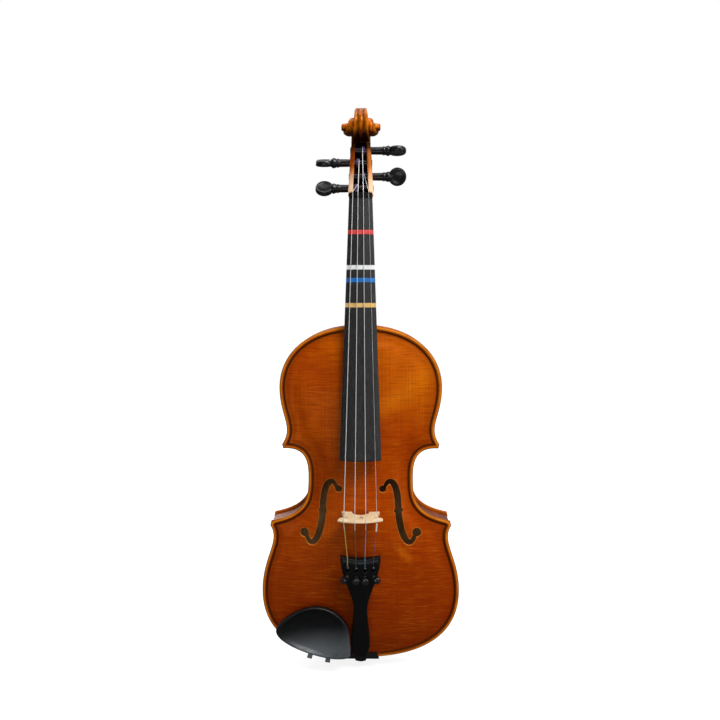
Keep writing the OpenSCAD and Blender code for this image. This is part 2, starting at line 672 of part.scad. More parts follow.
module tailpiece() color(ebony) in_tail_frame() difference() {
    intersection() {
        slab(0, tail_thickness) tail_outline();
        translate([0, tail_crown, -tail_length - 5])
            cylinder(h = tail_length + 10, r = tail_crown, $fn = 96);
    }
    for (i = [0:3]) {
        translate([tuner_x[i] - cavity_half, -over, -16]) cube([2 * cavity_half, 10, 9]);
        translate([tuner_x[i] - cavity_half, cavity_top, -26.5]) cube([2 * cavity_half, 10, 15]);
        translate([tuner_x[i] - 0.7, -over, -8]) cube([1.4, tail_surface(tuner_x[i]) + 1.3 + over, 10]);
        translate([tuner_x[i] - pin_half - run, pin_y(i), pin_z]) rotate([0, 90, 0])
            cylinder(h = 2 * (pin_half + run), r = pin_radius + 0.02);
        screw_frame(i) translate([0, 0, -5.5]) cylinder(h = 9.5, r = bush_radius + 0.02);
    }
    for (side = [-1, 1]) translate([side * gut_x, 4, -tail_length - over])
        cylinder(h = 8 + 7, r = gut_radius + 0.15);
}

screw_radius = 1.2;
screw_top = 7;
lever_top = 4.9;
// The flat tip stays clear of the lever as it tilts.
tip_gap = 0.2;
function screw_tip(i) =
    let (reach = lever_top - tip_gap - tail_surface(screw_x[i]))
    -(reach - screw_radius * abs(sin(screw_splay[i]))) / cos(screw_splay[i]);
module tuner_screw(i) color(steel) in_tail_frame() screw_frame(i)
    translate([0, 0, screw_tip(i)]) cylinder(h = screw_top - screw_tip(i), r = screw_radius);
knob_from = 2.6;
knob_radius = 4;
knob_length = 7;
module tuner_knob(i) color(ebony) in_tail_frame() screw_frame(i) difference() {
    translate([0, 0, knob_from]) cylinder(h = knob_length, r = knob_radius, $fn = 32);
    cylinder(h = screw_top + run, r = screw_radius + run);
}
lever_half = 1.7;
module tuner_lever(i) color(steel) in_tail_frame() {
    low = tail_surface(tuner_x[i]);
    translate([tuner_x[i], 0, 0]) difference() {
        union() {
            translate([-lever_half, pin_y(i), pin_z]) rotate([0, 90, 0])
                cylinder(h = 2 * lever_half, r = 2);
            translate([-lever_half, lever_top, -25]) cube([2 * lever_half, 1.5, 15.5]);
            translate([-lever_half, low - 0.6, pin_z - 0.8]) cube([2 * lever_half, 4, 1.6]);
        }
        translate([-over - lever_half, pin_y(i), pin_z]) rotate([0, 90, 0])
            cylinder(h = 2 * (lever_half + over), r = pin_radius + run);
        translate([-0.6, low - 2, pin_z - 2]) cube([1.2, 3.6, 4]);
    }
}
module tuner_pins() color(steel) in_tail_frame() for (i = [0:3])
    translate([tuner_x[i] - pin_half, pin_y(i), pin_z]) rotate([0, 90, 0])
        cylinder(h = 2 * pin_half, r = pin_radius);
module tuner_bushes() color(steel) in_tail_frame() for (i = [0:3]) screw_frame(i) difference() {
    translate([0, 0, bush_from]) cylinder(h = bush_to - bush_from, r = bush_radius);
    translate([0, 0, bush_from - over]) cylinder(h = 6, r = screw_radius + run);
}
module tuner_knob_g() tuner_knob(0);
module tuner_knob_d() tuner_knob(1);
module tuner_knob_a() tuner_knob(2);
module tuner_knob_e() tuner_knob(3);
module tuner_screw_g() tuner_screw(0);
module tuner_screw_d() tuner_screw(1);
module tuner_screw_a() tuner_screw(2);
module tuner_screw_e() tuner_screw(3);
module tuner_lever_g() tuner_lever(0);
module tuner_lever_d() tuner_lever(1);
module tuner_lever_a() tuner_lever(2);
module tuner_lever_e() tuner_lever(3);

// Bridge: outline points are (distance from the middle, height over the belly's edge).
bridge_foot_thickness = 4.4;
bridge_crown_thickness = 1.5;
function belly_top(x) = outer_height(x, bridge_height_on_body) - edge_thickness;
module bridge_outline() difference() {
    crown = [for (x = [22.8:-3.8:0]) [x, crown_height(x) - edge_y + bridge_tilt * x / 16.6]];
    foot = [for (x = [8.8, 12.4, 16, 19.6]) [x, belly_top(x) + 0.12]];
    half = concat([[0, 20.5], [6, 18.5], [8.6, 14]], foot, [
        [19.7, 12.4], [16.4, 14.4], [14.6, 17.5], [15.4, 20.6], [17.2, 22.4], [16.6, 24],
        [12.9, 25.6], [12.6, 27.6], [15.5, 29.4], [19.8, 30.2], [22.6, 32.2]], crown);
    polygon(tilted(concat(half, reverse(mirrored([for (p = half) if (p[0] > 0.01) p])))));
    translate([0, 27.5]) circle(2.4);
    for (side = [-1, 1]) {
        translate([side * 2, 30.4]) circle(1.9);
        translate([side * 14.3, 27.6]) circle(2.1);
    }
}
// The crown is higher under the bass string than under the treble string.
function tilted(pts) = [for (p = pts) p[1] > 31 ? [p[0], p[1] - bridge_tilt * p[0] / 16.6] : p];
module bridge() color([0.85, 0.72, 0.5]) on_body() intersection() {
    translate([0, -edge_y, bridge_height_on_body - 5])
        mirror([0, 1, 0]) linear_extrude(10) bridge_outline();
    translate([-30, -edge_y, bridge_height_on_body]) rotate([90, 0, 90]) linear_extrude(60)
        polygon([
            [-9, bridge_foot_thickness / 2], [-9, -bridge_foot_thickness / 2],
            [-46, -bridge_crown_thickness / 2], [-46, bridge_crown_thickness / 2]]);
}
module string_g() color(steel) string(0);
module string_d() color(steel) string(1);
module string_a() color(steel) string(2);
module string_e() color(steel) string(3);
module string_e_sleeve() color("white") on_body() {
    path = string_path(3);
    along = unit(path[1] - path[2]);
    translate(path[2] + along * 1.5) rotate([0, acos(along[2]), atan2(along[1], along[0])]) difference() {
        cylinder(h = 8, r = 0.8);
        translate([0, 0, -over]) cylinder(h = 8 + 2 * over, r = string_radius[3] + run);
    }
}

// ---------------------------------------------------------------- chin rest
rest_curves = [
    [[-88, 40], [-82, 52], [-62, 64], [-46, 64]],
    [[-46, 64], [-32, 64], [-16, 54], [-13, 40]],
    [[-13, 40], [-11, 30], [-10.5, 18], [-10.5, 12]],
    [[-10.5, 12], [-10.5, 8], [-20, 7.5], [-28, 8]],
    [[-28, 8], [-50, 10], [-92, 26], [-88, 40]]
];
rest_front = -41;
rest_back = -33;
clamp_at = [0.69, 0.81];
post_inset = -3.6;
post_radius = 1.5;
barrel_radius = 2.6;
arm_thickness = 2.5;
cork = 2;
foot_from = edge_y + cork;
// The plates already rise a little under the corks.
cork_gap = 0.17;
// A point and a strip of the bass side's lower edge, moved inward by an inset.
function edge_point(t, inset) =
    let (p = bezier(lower_curves[1], t) - left_of(unit(slope(lower_curves[1], t))) * inset) [-p[0], p[1]];
module edge_strip(inset_a, inset_b, t_from, t_to)
    polygon(concat(
        [for (k = [0:6]) edge_point(mix(t_from, t_to, k / 6), inset_a)],
        [for (k = [6:-1:0]) edge_point(mix(t_from, t_to, k / 6), inset_b)]));
module clamp_arm(t, grow = 0) {
    way = unit(edge_point(t, 10) - edge_point(t, 0));
    half = (barrel_radius + grow) * left_of(way);
    out_end = edge_point(t, -5.9);
    in_end = edge_point(t, 9 + grow);
    polygon([out_end + half, in_end + half, in_end - half, out_end - half]);
}
module clamp_post(t, y_from, y_to, radius)
    translate([edge_point(t, post_inset)[0], y_to, edge_point(t, post_inset)[1]])
        rotate([90, 0, 0]) cylinder(h = y_to - y_from, r = radius);

dish_radius = 90;
dish_at = [-50, rest_front - 84, 38];
module chin_rest() color(ebony) on_body() difference() {
    union() {
        slab(rest_front, rest_back)
            polygon([for (c = rest_curves) for (k = [0:5]) bezier(c, k / 6)]);
        slab(rest_back - over, -foot_from - run) edge_strip(5, 9.5, 0.64, 0.86);
    }
    translate(dish_at) sphere(dish_radius, $fn = 144);
    for (t = clamp_at) slab(-foot_from - arm_thickness - run, -foot_from) clamp_arm(t, run);
}
module chin_rest_corks() color([0.7, 0.5, 0.3]) on_body()
    slab(-edge_y - cork, -edge_y - cork_gap) {
        edge_strip(1.6, 7.5, 0.64, 0.74);
        edge_strip(1.6, 7.5, 0.78, 0.88);
    }
module chin_rest_bracket() color(steel) on_body() for (t = clamp_at) {
    slab(-foot_from - arm_thickness, -foot_from - run) clamp_arm(t);
    clamp_post(t, -foot_from - 1.5, -3, post_radius);
}
module barrel(t) color(steel) on_body() difference() {
    clamp_post(t, -11, 11, barrel_radius);
    clamp_post(t, -12, 12, post_radius + run);
    translate([edge_point(t, post_inset)[0] - 5, 0, edge_point(t, post_inset)[1]])
        rotate([0, 90, 0]) cylinder(h = 10, r = 0.9);
}
module chin_rest_barrel_left() barrel(clamp_at[0]);
module chin_rest_barrel_right() barrel(clamp_at[1]);
module chin_rest_foot() color(steel) on_body() {
    for (t = clamp_at) {
        slab(foot_from + run, foot_from + arm_thickness) clamp_arm(t);
        clamp_post(t, 3, foot_from + 1.5, post_radius);
    }
    slab(foot_from + run, foot_from + arm_thickness) edge_strip(2, 9, 0.64, 0.86);
}
module chin_rest_foot_cork() color([0.7, 0.5, 0.3]) on_body()
    slab(edge_y + cork_gap, foot_from) edge_strip(2, 7.5, 0.64, 0.86);

belly();
back();
rib_upper_bass();
rib_upper_treble();
rib_waist_bass();
rib_waist_treble();
rib_lower_bass();
rib_lower_treble();
linings_front();
linings_back();
neck_block();
end_block();
corner_blocks();
bass_bar();
sound_post();
belly_purfling();
back_purfling();
neck_and_scroll();
fingerboard();
nut();
peg_g();
peg_d();
peg_a();
peg_e();
tape_red();
tape_white();
tape_blue();
tape_yellow();
saddle();
end_button();
tailpiece();
tail_gut();
bridge();
string_g();
string_d();
string_a();
string_e();
string_e_sleeve();
tuner_knob_g();
tuner_knob_d();
tuner_knob_a();
tuner_knob_e();
tuner_screw_g();
tuner_screw_d();
tuner_screw_a();
tuner_screw_e();
tuner_lever_g();
tuner_lever_d();
tuner_lever_a();
tuner_lever_e();
tuner_pins();
tuner_bushes();
chin_rest();
chin_rest_corks();
chin_rest_bracket();
chin_rest_barrel_left();
chin_rest_barrel_right();
chin_rest_foot();
chin_rest_foot_cork();
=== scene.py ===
"""The looks of a full-size violin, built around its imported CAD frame.

Lengths are millimetres until a mesh is made; a mesh is in metres, in the CAD frame: +Z up to the scroll,
the front faces -Y, +X is the treble side. "Height" (h) counts from the body's bottom edge.
"""

import math

import bmesh
import bpy
import numpy as np
from mathutils import Matrix, Vector
from mathutils.geometry import delaunay_2d_cdt


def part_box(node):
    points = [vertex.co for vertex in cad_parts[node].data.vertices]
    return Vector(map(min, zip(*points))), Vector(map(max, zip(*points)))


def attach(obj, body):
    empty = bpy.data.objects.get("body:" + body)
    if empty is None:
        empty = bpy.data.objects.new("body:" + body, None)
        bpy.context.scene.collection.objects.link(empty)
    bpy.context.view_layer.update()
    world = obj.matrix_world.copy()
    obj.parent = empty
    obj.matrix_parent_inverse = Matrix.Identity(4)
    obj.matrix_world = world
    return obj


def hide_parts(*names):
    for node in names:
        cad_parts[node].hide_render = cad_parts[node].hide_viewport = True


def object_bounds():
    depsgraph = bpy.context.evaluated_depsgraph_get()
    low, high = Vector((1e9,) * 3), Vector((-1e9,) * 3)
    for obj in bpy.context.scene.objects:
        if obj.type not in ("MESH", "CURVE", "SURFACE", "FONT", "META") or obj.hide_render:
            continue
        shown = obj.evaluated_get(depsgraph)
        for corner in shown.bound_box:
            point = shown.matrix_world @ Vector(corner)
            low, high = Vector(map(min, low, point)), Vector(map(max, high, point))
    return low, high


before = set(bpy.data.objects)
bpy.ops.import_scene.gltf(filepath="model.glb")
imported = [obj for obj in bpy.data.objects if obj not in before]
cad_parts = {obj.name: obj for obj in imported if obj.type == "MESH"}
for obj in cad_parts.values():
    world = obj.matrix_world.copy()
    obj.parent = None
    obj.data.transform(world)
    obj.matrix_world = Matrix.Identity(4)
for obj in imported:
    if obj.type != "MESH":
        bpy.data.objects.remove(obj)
cad_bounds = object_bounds()

MM = 0.001
BODY = "violin"
NAMES = "gdae"


def box(node):
    """A CAD node's lowest and highest corners, in millimetres."""
    low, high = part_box(node)
    return np.array(low) / MM, np.array(high) / MM


# -------- sizes shared with the CAD
BOTTOM = box("rib_lower_bass")[0][2] - 2.8  # the body's bottom edge over the end button's face
RIB_Y = box("rib_lower_bass")[1][1]
EDGE = 4.0
EDGE_Y = RIB_Y + EDGE
LENGTH = 356.0
ARCH_RISE = 11.8
PLATE = 2.8
OVERHANG = 2.8
RIB = 1.1
NUT_H = box("nut")[0][2] - BOTTOM
BOARD_END_H = box("fingerboard")[0][2] - BOTTOM
BOARD_RADIUS = 42.0
BRIDGE_H = 161.0

UPPER = [
    [(0, LENGTH), (56.3, LENGTH), (84.8, 326.5), (84.8, 291)],
    [(84.8, 291), (84.8, 260.3), (69.9, 250.3), (82.6, 231.4)],
]
WAIST = [
    [(81.4, 227), (58.9, 228.4), (55, 214.5), (55, 198)],
    [(55, 198), (55, 174.5), (56, 157.5), (94.6, 149.7)],
]
LOWER = [
    [(95.9, 144.4), (84.7, 127.2), (104.8, 110.3), (104.8, 73)],
    [(104.8, 73), (104.8, 24), (65.6, 0), (0, 0)],
]
ARCH_HALF = [  # (height, half width) of the plates' arch
    (0, 20), (8, 58), (20, 80), (40, 97), (73, 105), (105, 100), (135, 82), (165, 62),
    (198, 55), (225, 62), (250, 74), (291, 85), (320, 77), (340, 60), (350, 40), (LENGTH, 20),
]


# -------- curves
def unit(v):
    v = np.asarray(v, float)
    return v / np.linalg.norm(v, axis=-1, keepdims=True)


def bezier(curve, t):
    c = np.asarray(curve, float)
    t = np.asarray(t, float)[..., None]
    s = 1 - t
    return s**3 * c[0] + 3 * s * s * t * c[1] + 3 * s * t * t * c[2] + t**3 * c[3]


def slope(curve, t):
    c = np.asarray(curve, float)
    t = np.asarray(t, float)[..., None]
    s = 1 - t
    return s * s * (c[1] - c[0]) + 2 * s * t * (c[2] - c[1]) + t * t * (c[3] - c[2])


def left_of(v):
    v = np.asarray(v, float)
    return np.stack([-v[..., 1], v[..., 0]], -1)


def ease(v):
    v = np.clip(v, 0, 1)
    return v * v * (3 - 2 * v)


def table(x, pairs):
    """A smooth curve through (place, value) pairs that never overshoots them."""
    xs, ys = np.array(pairs, float).T
    d = np.diff(ys) / np.diff(xs)
    m = np.zeros(len(xs))
    turn = d[:-1] * d[1:] > 0
    m[1:-1][turn] = 2 * d[:-1][turn] * d[1:][turn] / (d[:-1][turn] + d[1:][turn])
    m[0], m[-1] = d[0], d[-1]
    x = np.clip(x, xs[0], xs[-1])
    i = np.clip(np.searchsorted(xs, x, side="right") - 1, 0, len(xs) - 2)
    w = xs[i + 1] - xs[i]
    t = (x - xs[i]) / w
    return (
        ys[i] * (1 + 2 * t) * (1 - t) ** 2
        + ys[i + 1] * t * t * (3 - 2 * t)
        + w * t * (1 - t) * (m[i] * (1 - t) - m[i + 1] * t)
    )


def inset_chain(curves, inset, steps):
    t = np.linspace(0, 1, steps + 1)
    lines = [bezier(c, t) - left_of(unit(slope(c, t))) * inset for c in curves]
    return np.concatenate([lines[0], lines[1][1:]])


def clip_line(points, at, normal):
    """The part of a line of points on the side of a cut that its normal points to."""
    side = (points - at) @ normal
    kept = []
    for i, s in enumerate(side):
        if s >= 0:
            kept.append(points[i])
        if i + 1 < len(side) and (s >= 0) != (side[i + 1] >= 0):
            kept.append(points[i] + (points[i + 1] - points[i]) * s / (s - side[i + 1]))
    return np.array(kept)


def mitre(a, b):
    """The line that halves the corner between the end of chain a and the start of chain b."""
    end, start = np.array(a[1][3], float), np.array(b[0][0], float)
    inward = unit(np.array(a[1][2]) - end) + unit(np.array(b[0][1]) - start)
    return (end + start) / 2, left_of(-unit(inward))


def half_lines(inset, steps):
    """The right half's three stretches of outline, moved inward and cut at the corners' mitre lines."""
    upper_at, upper_way = mitre(UPPER, WAIST)
    lower_at, lower_way = mitre(WAIST, LOWER)
    upper = clip_line(inset_chain(UPPER, inset, steps), upper_at, upper_way)
    waist = clip_line(inset_chain(WAIST, inset, steps), upper_at, -upper_way)
    waist = clip_line(waist, lower_at, lower_way)
    lower = clip_line(inset_chain(LOWER, inset, steps), lower_at, -lower_way)
    return upper, waist, lower


def outline(inset, steps=28):
    """The whole outline as one closed line, moved inward."""
    half = np.concatenate(half_lines(inset, steps))
    half = half[np.r_[True, np.linalg.norm(np.diff(half, axis=0), axis=1) > 0.05]]
    return np.concatenate([half, (half[half[:, 0] > 0.01] * (-1, 1))[::-1]])


def smooth_corners(points, times, closed=True):
    """Corner cutting, which rounds a line of points."""
    for _ in range(times):
        ahead = np.roll(points, -1, 0) if closed else points[1:]
        here = points if closed else points[:-1]
        cut = np.hstack([here * 0.75 + ahead * 0.25, here * 0.25 + ahead * 0.75]).reshape(-1, points.shape[1])
        points = cut if closed else np.concatenate([points[:1], cut, points[-1:]])
    return points


def resampled(line, spread):
    """Points at the given shares of a line's length."""
    run = np.r_[0, np.cumsum(np.linalg.norm(np.diff(line, axis=0), axis=1))]
    return np.stack([np.interp(spread * run[-1], run, column) for column in line.T], 1)


def arc(centre, radius, start, end, steps):
    a = np.radians(np.linspace(start, end, steps + 1))
    return np.stack([centre[0] + radius * np.cos(a), centre[1] + radius * np.sin(a)], 1)


def mirrored(points):
    """The points and then their mirror images in reverse, which make a closed line."""
    points = np.array(points, float)
    return np.concatenate([points, points[::-1] * [-1, 1, 1][:points.shape[1]]])


def both_ways(profile):
    """A (radius, height) profile that goes on as its own mirror image below."""
    return profile + [(r, -z) for r, z in profile[-2::-1]]


def round_over(gap, r):
    """How far an edge rounded to radius r falls away, at a distance from the edge."""
    return np.where(gap < r, r - np.sqrt(np.clip(r * r - (r - gap) ** 2, 0, None)), 0)


# -------- flat regions
def distance(points, line):
    """Distance from each point to a closed line."""
    a, ab = line, np.roll(line, -1, 0) - line
    size = (ab * ab).sum(1)
    out = []
    for part in np.array_split(points, max(1, len(points) // 1500)):
        ap = part[:, None] - a
        t = np.clip((ap * ab).sum(2) / size, 0, 1)
        out.append(np.linalg.norm(ap - ab * t[..., None], axis=2).min(1))
    return np.concatenate(out)


def inside(points, line):
    """Which points a closed line encloses."""
    a, b = line, np.roll(line, -1, 0)
    out = []
    for part in np.array_split(points, max(1, len(points) // 1500)):
        x, y = part[:, 0, None], part[:, 1, None]
        crosses = (a[:, 1] > y) != (b[:, 1] > y)
        rise = np.where(np.abs(b[:, 1] - a[:, 1]) < 1e-12, 1e-12, b[:, 1] - a[:, 1])
        at = a[:, 0] + (y - a[:, 1]) * (b[:, 0] - a[:, 0]) / rise
        out.append((crosses & (x < at)).sum(1) % 2 == 1)
    return np.concatenate(out)


def in_any(points, lines):
    return np.any([inside(points, line) for line in lines], axis=0)


def grid(low, high, step):
    """Staggered filler points for the middle of a region."""
    rows = []
    for k, y in enumerate(np.arange(low[1], high[1], step * 0.87)):
        x = np.arange(low[0] + (step / 2 if k % 2 else 0), high[0], step)
        rows.append(np.stack([x, np.full(len(x), y)], 1))
    return np.concatenate(rows)


def fill(line, low, high, step, clear, holes=()):
    """Filler points inside a line, clear of it and of the holes."""
    points = grid(low, high, step)
    points = points[inside(points, line) & (distance(points, line) > clear)]
    for hole in holes:
        points = points[~inside(points, hole) & (distance(points, hole) > clear)]
    return points


def inside_rings(maker, insets):
    """A line and its inset copies, less the points that an inset pushed outside."""
    rings = [maker()]
    for inset in insets:
        ring = maker(inset)
        rings.append(ring[inside(ring, rings[0]) & (distance(ring, rings[0]) > inset * 0.85)])
    return rings


def triangulate(lines, filler, regions, holes=()):
    """Triangles between closed lines and filler points, inside the regions and outside the holes."""
    points = np.concatenate(lines + [filler])
    edges, start = [], 0
    for line in lines:
        n = len(line)
        edges += [(start + i, start + (i + 1) % n) for i in range(n)]
        start += n
    found = delaunay_2d_cdt([Vector(p) for p in points], edges, [], 0, 1e-4)
    flat = np.array([tuple(v) for v in found[0]])
    triangles = np.array([f for f in found[2] if len(f) == 3])
    centres = flat[triangles].mean(1)
    return flat, triangles[in_any(centres, regions) & ~in_any(centres, holes)]


def plate(flat, triangles, top, bottom, place, sunk=None, depth=0.0):
    """A closed solid over a flat region, with heights of its top and bottom. Sunk triangles lie deeper."""
    n = len(flat)
    sunk = np.zeros(len(triangles), bool) if sunk is None else sunk
    height = np.concatenate([top, top - depth, bottom])
    points = place(np.tile(flat, (3, 1)), height)
    level = np.where(sunk, n, 0)[:, None]
    faces = [tuple(f) for f in triangles + level] + [tuple(f) for f in (triangles + 2 * n)[:, ::-1]]
    seen = {}
    for f, (a, b, c) in enumerate(triangles):
        for edge in ((a, b), (b, c), (c, a)):
            seen.setdefault(frozenset(edge), []).append((f, edge))
    for uses in seen.values():
        f, (a, b) = uses[0]
        if len(uses) == 1:
            up = level[f][0]
            faces.append((b + up, a + up, a + 2 * n, b + 2 * n))
        elif sunk[f] != sunk[uses[1][0]]:
            faces.append((a, b, b + n, a + n))
    return points, faces


# -------- shells
def closed_loft(rings):
    """A skin over rings of equal count, closed by a cap at each end."""
    rings = np.asarray(rings, float)
    count, around = rings.shape[:2]
    faces = []
    for i in range(count - 1):
        for k in range(around):
            a, b = i * around + k, i * around + (k + 1) % around
            faces.append((a, b, b + around, a + around))
    faces.append(tuple(range(around))[::-1])
    faces.append(tuple(range((count - 1) * around, count * around)))
    return rings.reshape(-1, 3), faces


def tube(path, radius, sides):
    """A round tube along a line of points; radius is a number or one per point."""
    path = np.asarray(path, float)
    along = unit(np.gradient(path, axis=0))
    radius = np.broadcast_to(radius, len(path))
    side = unit(np.cross(along[0], (1, 0.2, 0.1)))
    angles = np.linspace(0, 2 * math.pi, sides, endpoint=False)
    rings = []
    for p, d, r in zip(path, along, radius):
        side = unit(side - d * (side @ d))
        up = np.cross(d, side)
        rings.append(p + r * (np.cos(angles)[:, None] * side + np.sin(angles)[:, None] * up))
    return closed_loft(rings)


def lathe(profile, sides, waves=0, wave_depth=0.0):
    """Turns (radius, height) points about Z. Waves flute the widest rings."""
    angles = np.linspace(0, 2 * math.pi, sides, endpoint=False)
    widest = max(r for r, z in profile)
    rings = []
    for r, z in profile:
        flute = wave_depth * (0.5 - 0.5 * np.cos(waves * angles)) if r > widest * 0.93 else 0
        out = r - flute
        rings.append(np.stack([out * np.cos(angles), out * np.sin(angles), np.full(sides, z)], 1))
    return closed_loft(rings)


def moved(shell, matrix):
    points, faces = shell
    m = np.array(matrix, float)
    return points @ m[:3, :3].T + m[:3, 3], faces


def joined(*shells):
    points, faces, start = [], [], 0
    for p, f in shells:
        points.append(p)
        faces += [tuple(i + start for i in face) for face in f]
        start += len(p)
    return np.concatenate(points), faces


def turn(degrees, axis):
    return Matrix.Rotation(math.radians(degrees), 4, axis)


def shift(x, y, z):
    return Matrix.Translation((x, y, z))


def raw_object(name, shell):
    mesh = bpy.data.meshes.new(name)
    mesh.from_pydata([tuple(p) for p in np.asarray(shell[0]) * MM], [], shell[1])
    obj = bpy.data.objects.new(name, mesh)
    bpy.context.scene.collection.objects.link(obj)
    return obj


def carved(shell, cutters=(), added=()):
    """A shell with cutters taken away and others merged into it."""
    obj = raw_object("carving", shell)
    tools = []
    for operation, group in (("UNION", added), ("DIFFERENCE", cutters)):
        for k, other in enumerate(group):
            tool = raw_object(f"tool_{operation}_{k}", other)
            orient(tool.data)
            tools.append(tool)
            step = obj.modifiers.new(tool.name, "BOOLEAN")
            step.operation, step.object, step.solver = operation, tool, "EXACT"
    orient(obj.data)
    shape = obj.evaluated_get(bpy.context.evaluated_depsgraph_get()).to_mesh()
    points = np.array([v.co for v in shape.vertices]) / MM
    faces = [tuple(p.vertices) for p in shape.polygons]
    for o in [obj] + tools:
        bpy.data.objects.remove(o)
    return points, faces


def orient(mesh):
    bm = bmesh.new()
    bm.from_mesh(mesh)
    bmesh.ops.recalc_face_normals(bm, faces=bm.faces)
    bm.to_mesh(mesh)
    bm.free()


def piece(name, node, shell, finishes, body=BODY, crease=32, shade=None, layer=None):
    """A mesh in a CAD node's place. shade holds attributes for its finishes, layer one finish per face."""
    obj = raw_object(name, shell)
    mesh = obj.data
    for key, values in (shade or {}).items():
        attribute = mesh.attributes.new(key, "FLOAT", "POINT")
        attribute.data.foreach_set("value", np.asarray(values, np.float32))
    if layer is not None:
        mesh.polygons.foreach_set("material_index", np.asarray(layer, np.int32))
    bm = bmesh.new()
    bm.from_mesh(mesh)
    bmesh.ops.delete(bm, geom=[v for v in bm.verts if not v.link_faces], context="VERTS")
    bmesh.ops.remove_doubles(bm, verts=bm.verts, dist=1e-7)
    bmesh.ops.recalc_face_normals(bm, faces=bm.faces)
    limit = math.radians(crease)
    for f in bm.faces:
        f.smooth = True
    for e in bm.edges:
        e.smooth = len(e.link_faces) == 2 and e.calc_face_angle(0) < limit
    bm.to_mesh(mesh)
    bm.free()
    for finish in finishes:
        mesh.materials.append(finish)
    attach(obj, body)
    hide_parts(node)


# -------- material nodes
def colour(r, g, b):
    """A colour given as it looks on a screen, 0 to 255."""
    def line(v):
        v /= 255
        return v / 12.92 if v < 0.04045 else ((v + 0.055) / 1.055) ** 2.4
    return (line(r), line(g), line(b), 1)


class Wire:
    """What runs from one node to the next; numbers can be added, subtracted and multiplied."""

    def __init__(self, nodes, socket):
        self.nodes, self.socket = nodes, socket

    def __add__(self, other):
        return self.nodes.math("ADD", self, other)

    def __sub__(self, other):
        return self.nodes.math("SUBTRACT", self, other)

    def __mul__(self, other):
        return self.nodes.math("MULTIPLY", self, other)

    def __abs__(self):
        return self.nodes.math("ABSOLUTE", self, 0.0)


class Nodes:
    """A node tree, built by calls that each give a new node's output."""

    def __init__(self, tree):
        self.tree = tree

    def set(self, node, key, value):
        if isinstance(value, Wire):
            self.tree.links.new(value.socket, node.inputs[key])
        else:
            node.inputs[key].default_value = value

    def node(self, kind, inputs=None, output=0, **settings):
        node = self.tree.nodes.new(kind)
        for key, value in settings.items():
            setattr(node, key, value)
        for key, value in (inputs or {}).items():
            self.set(node, key, value)
        return Wire(self, node.outputs[output])

    def math(self, operation, a, b):
        return self.node("ShaderNodeMath", {0: a, 1: b}, operation=operation)

    def part(self, vector, k):
        return self.node("ShaderNodeSeparateXYZ", {0: vector}, k)


class Finish(Nodes):
    """A node material. Coordinates are object coordinates, in millimetres."""

    def __init__(self, name, slot=None, **shader):
        self.material = bpy.data.materials.new(name)
        self.material.use_nodes = True
        super().__init__(self.material.node_tree)
        place = self.node("ShaderNodeTexCoord", output="Object")
        self.place = self.node("ShaderNodeVectorMath", {0: place, "Scale": 1 / MM}, operation="SCALE")
        self.use(**shader)

    def use(self, **shader):
        for key, value in shader.items():
            self.set(self.tree.nodes["Principled BSDF"], key.replace("_", " "), value)
        return self.material

    def axis(self, k):
        return self.part(self.place, k)

    def height(self):
        return self.axis(2) - BOTTOM

    def stretched(self, scale):
        scale = scale if isinstance(scale, tuple) else (scale,) * 3
        return self.node("ShaderNodeVectorMath", {0: self.place, 1: scale}, operation="MULTIPLY")

    def noise(self, scale, detail=3.0, roughness=0.55, distortion=0.0):
        """Cloudy noise; scale is its frequency per millimetre, one number or one along each axis."""
        inputs = {"Vector": self.stretched(scale), "Scale": 1.0, "Detail": detail,
                  "Roughness": roughness, "Distortion": distortion}
        return self.node("ShaderNodeTexNoise", inputs, "Fac")

    def flecks(self, scale, size):
        """Short dashes: 1 inside a fleck, 0 elsewhere."""
        inputs = {"Vector": self.stretched(scale), "Scale": 1.0, "Randomness": 1.0}
        return self.math("LESS_THAN", self.node("ShaderNodeTexVoronoi", inputs, "Distance"), size)

    def attribute(self, name):
        return self.node("ShaderNodeAttribute", output="Fac", attribute_name=name)

    def span(self, value, low, high, to_low=0.0, to_high=1.0):
        """A smooth step from to_low to to_high while the value goes from low to high."""
        inputs = {0: value, 1: low, 2: high, 3: to_low, 4: to_high}
        return self.node("ShaderNodeMapRange", inputs, interpolation_type="SMOOTHSTEP")

    def fade(self, value, low, high):
        return self.span(value, low, high, 1.0, 0.0)

    def band(self, value, a, b, c, d):
        """Rises from 0 to 1 between a and b and falls again between c and d."""
        return self.span(value, a, b) * self.fade(value, c, d)

    def ramp(self, value, *stops):
        """Colours along a value; a stop is its place and its red, green and blue."""
        wire = self.node("ShaderNodeValToRGB", {0: value})
        elements = wire.socket.node.color_ramp.elements
        while len(elements) < len(stops):
            elements.new(0.5)
        for element, (at, *tone) in zip(elements, stops):
            element.position, element.color = at, colour(*tone)
        return wire

    def mix(self, share, a, b):
        return self.node("ShaderNodeMix", {0: share, 6: a, 7: b}, 2, data_type="RGBA")

    def coats(self, tone, *layers):
        """A tone with thin paints over it; a layer is its share and its red, green and blue."""
        for share, *paint in layers:
            tone = self.mix(share, tone, colour(*paint))
        return tone

    def bump(self, height, distance):
        """Raises the surface by height times distance, which is in millimetres."""
        inputs = {"Height": height, "Distance": distance * MM, "Strength": 1.0}
        self.use(Normal=self.node("ShaderNodeBump", inputs))


# -------- varnished wood
AMBER = colour(255, 176, 84)


def varnish(f, tone, rough):
    """A slightly uneven amber coat over coloured wood."""
    haze = f.noise(0.03, 2)
    return f.use(
        Base_Color=tone,
        Roughness=f.span(haze, 0.3, 0.7, rough - 0.05, rough + 0.08),
        Specular_IOR_Level=f.span(f.attribute("recess"), 0.2, 1.0, 0.5, 0.06),
        Specular_Tint=AMBER,
    )


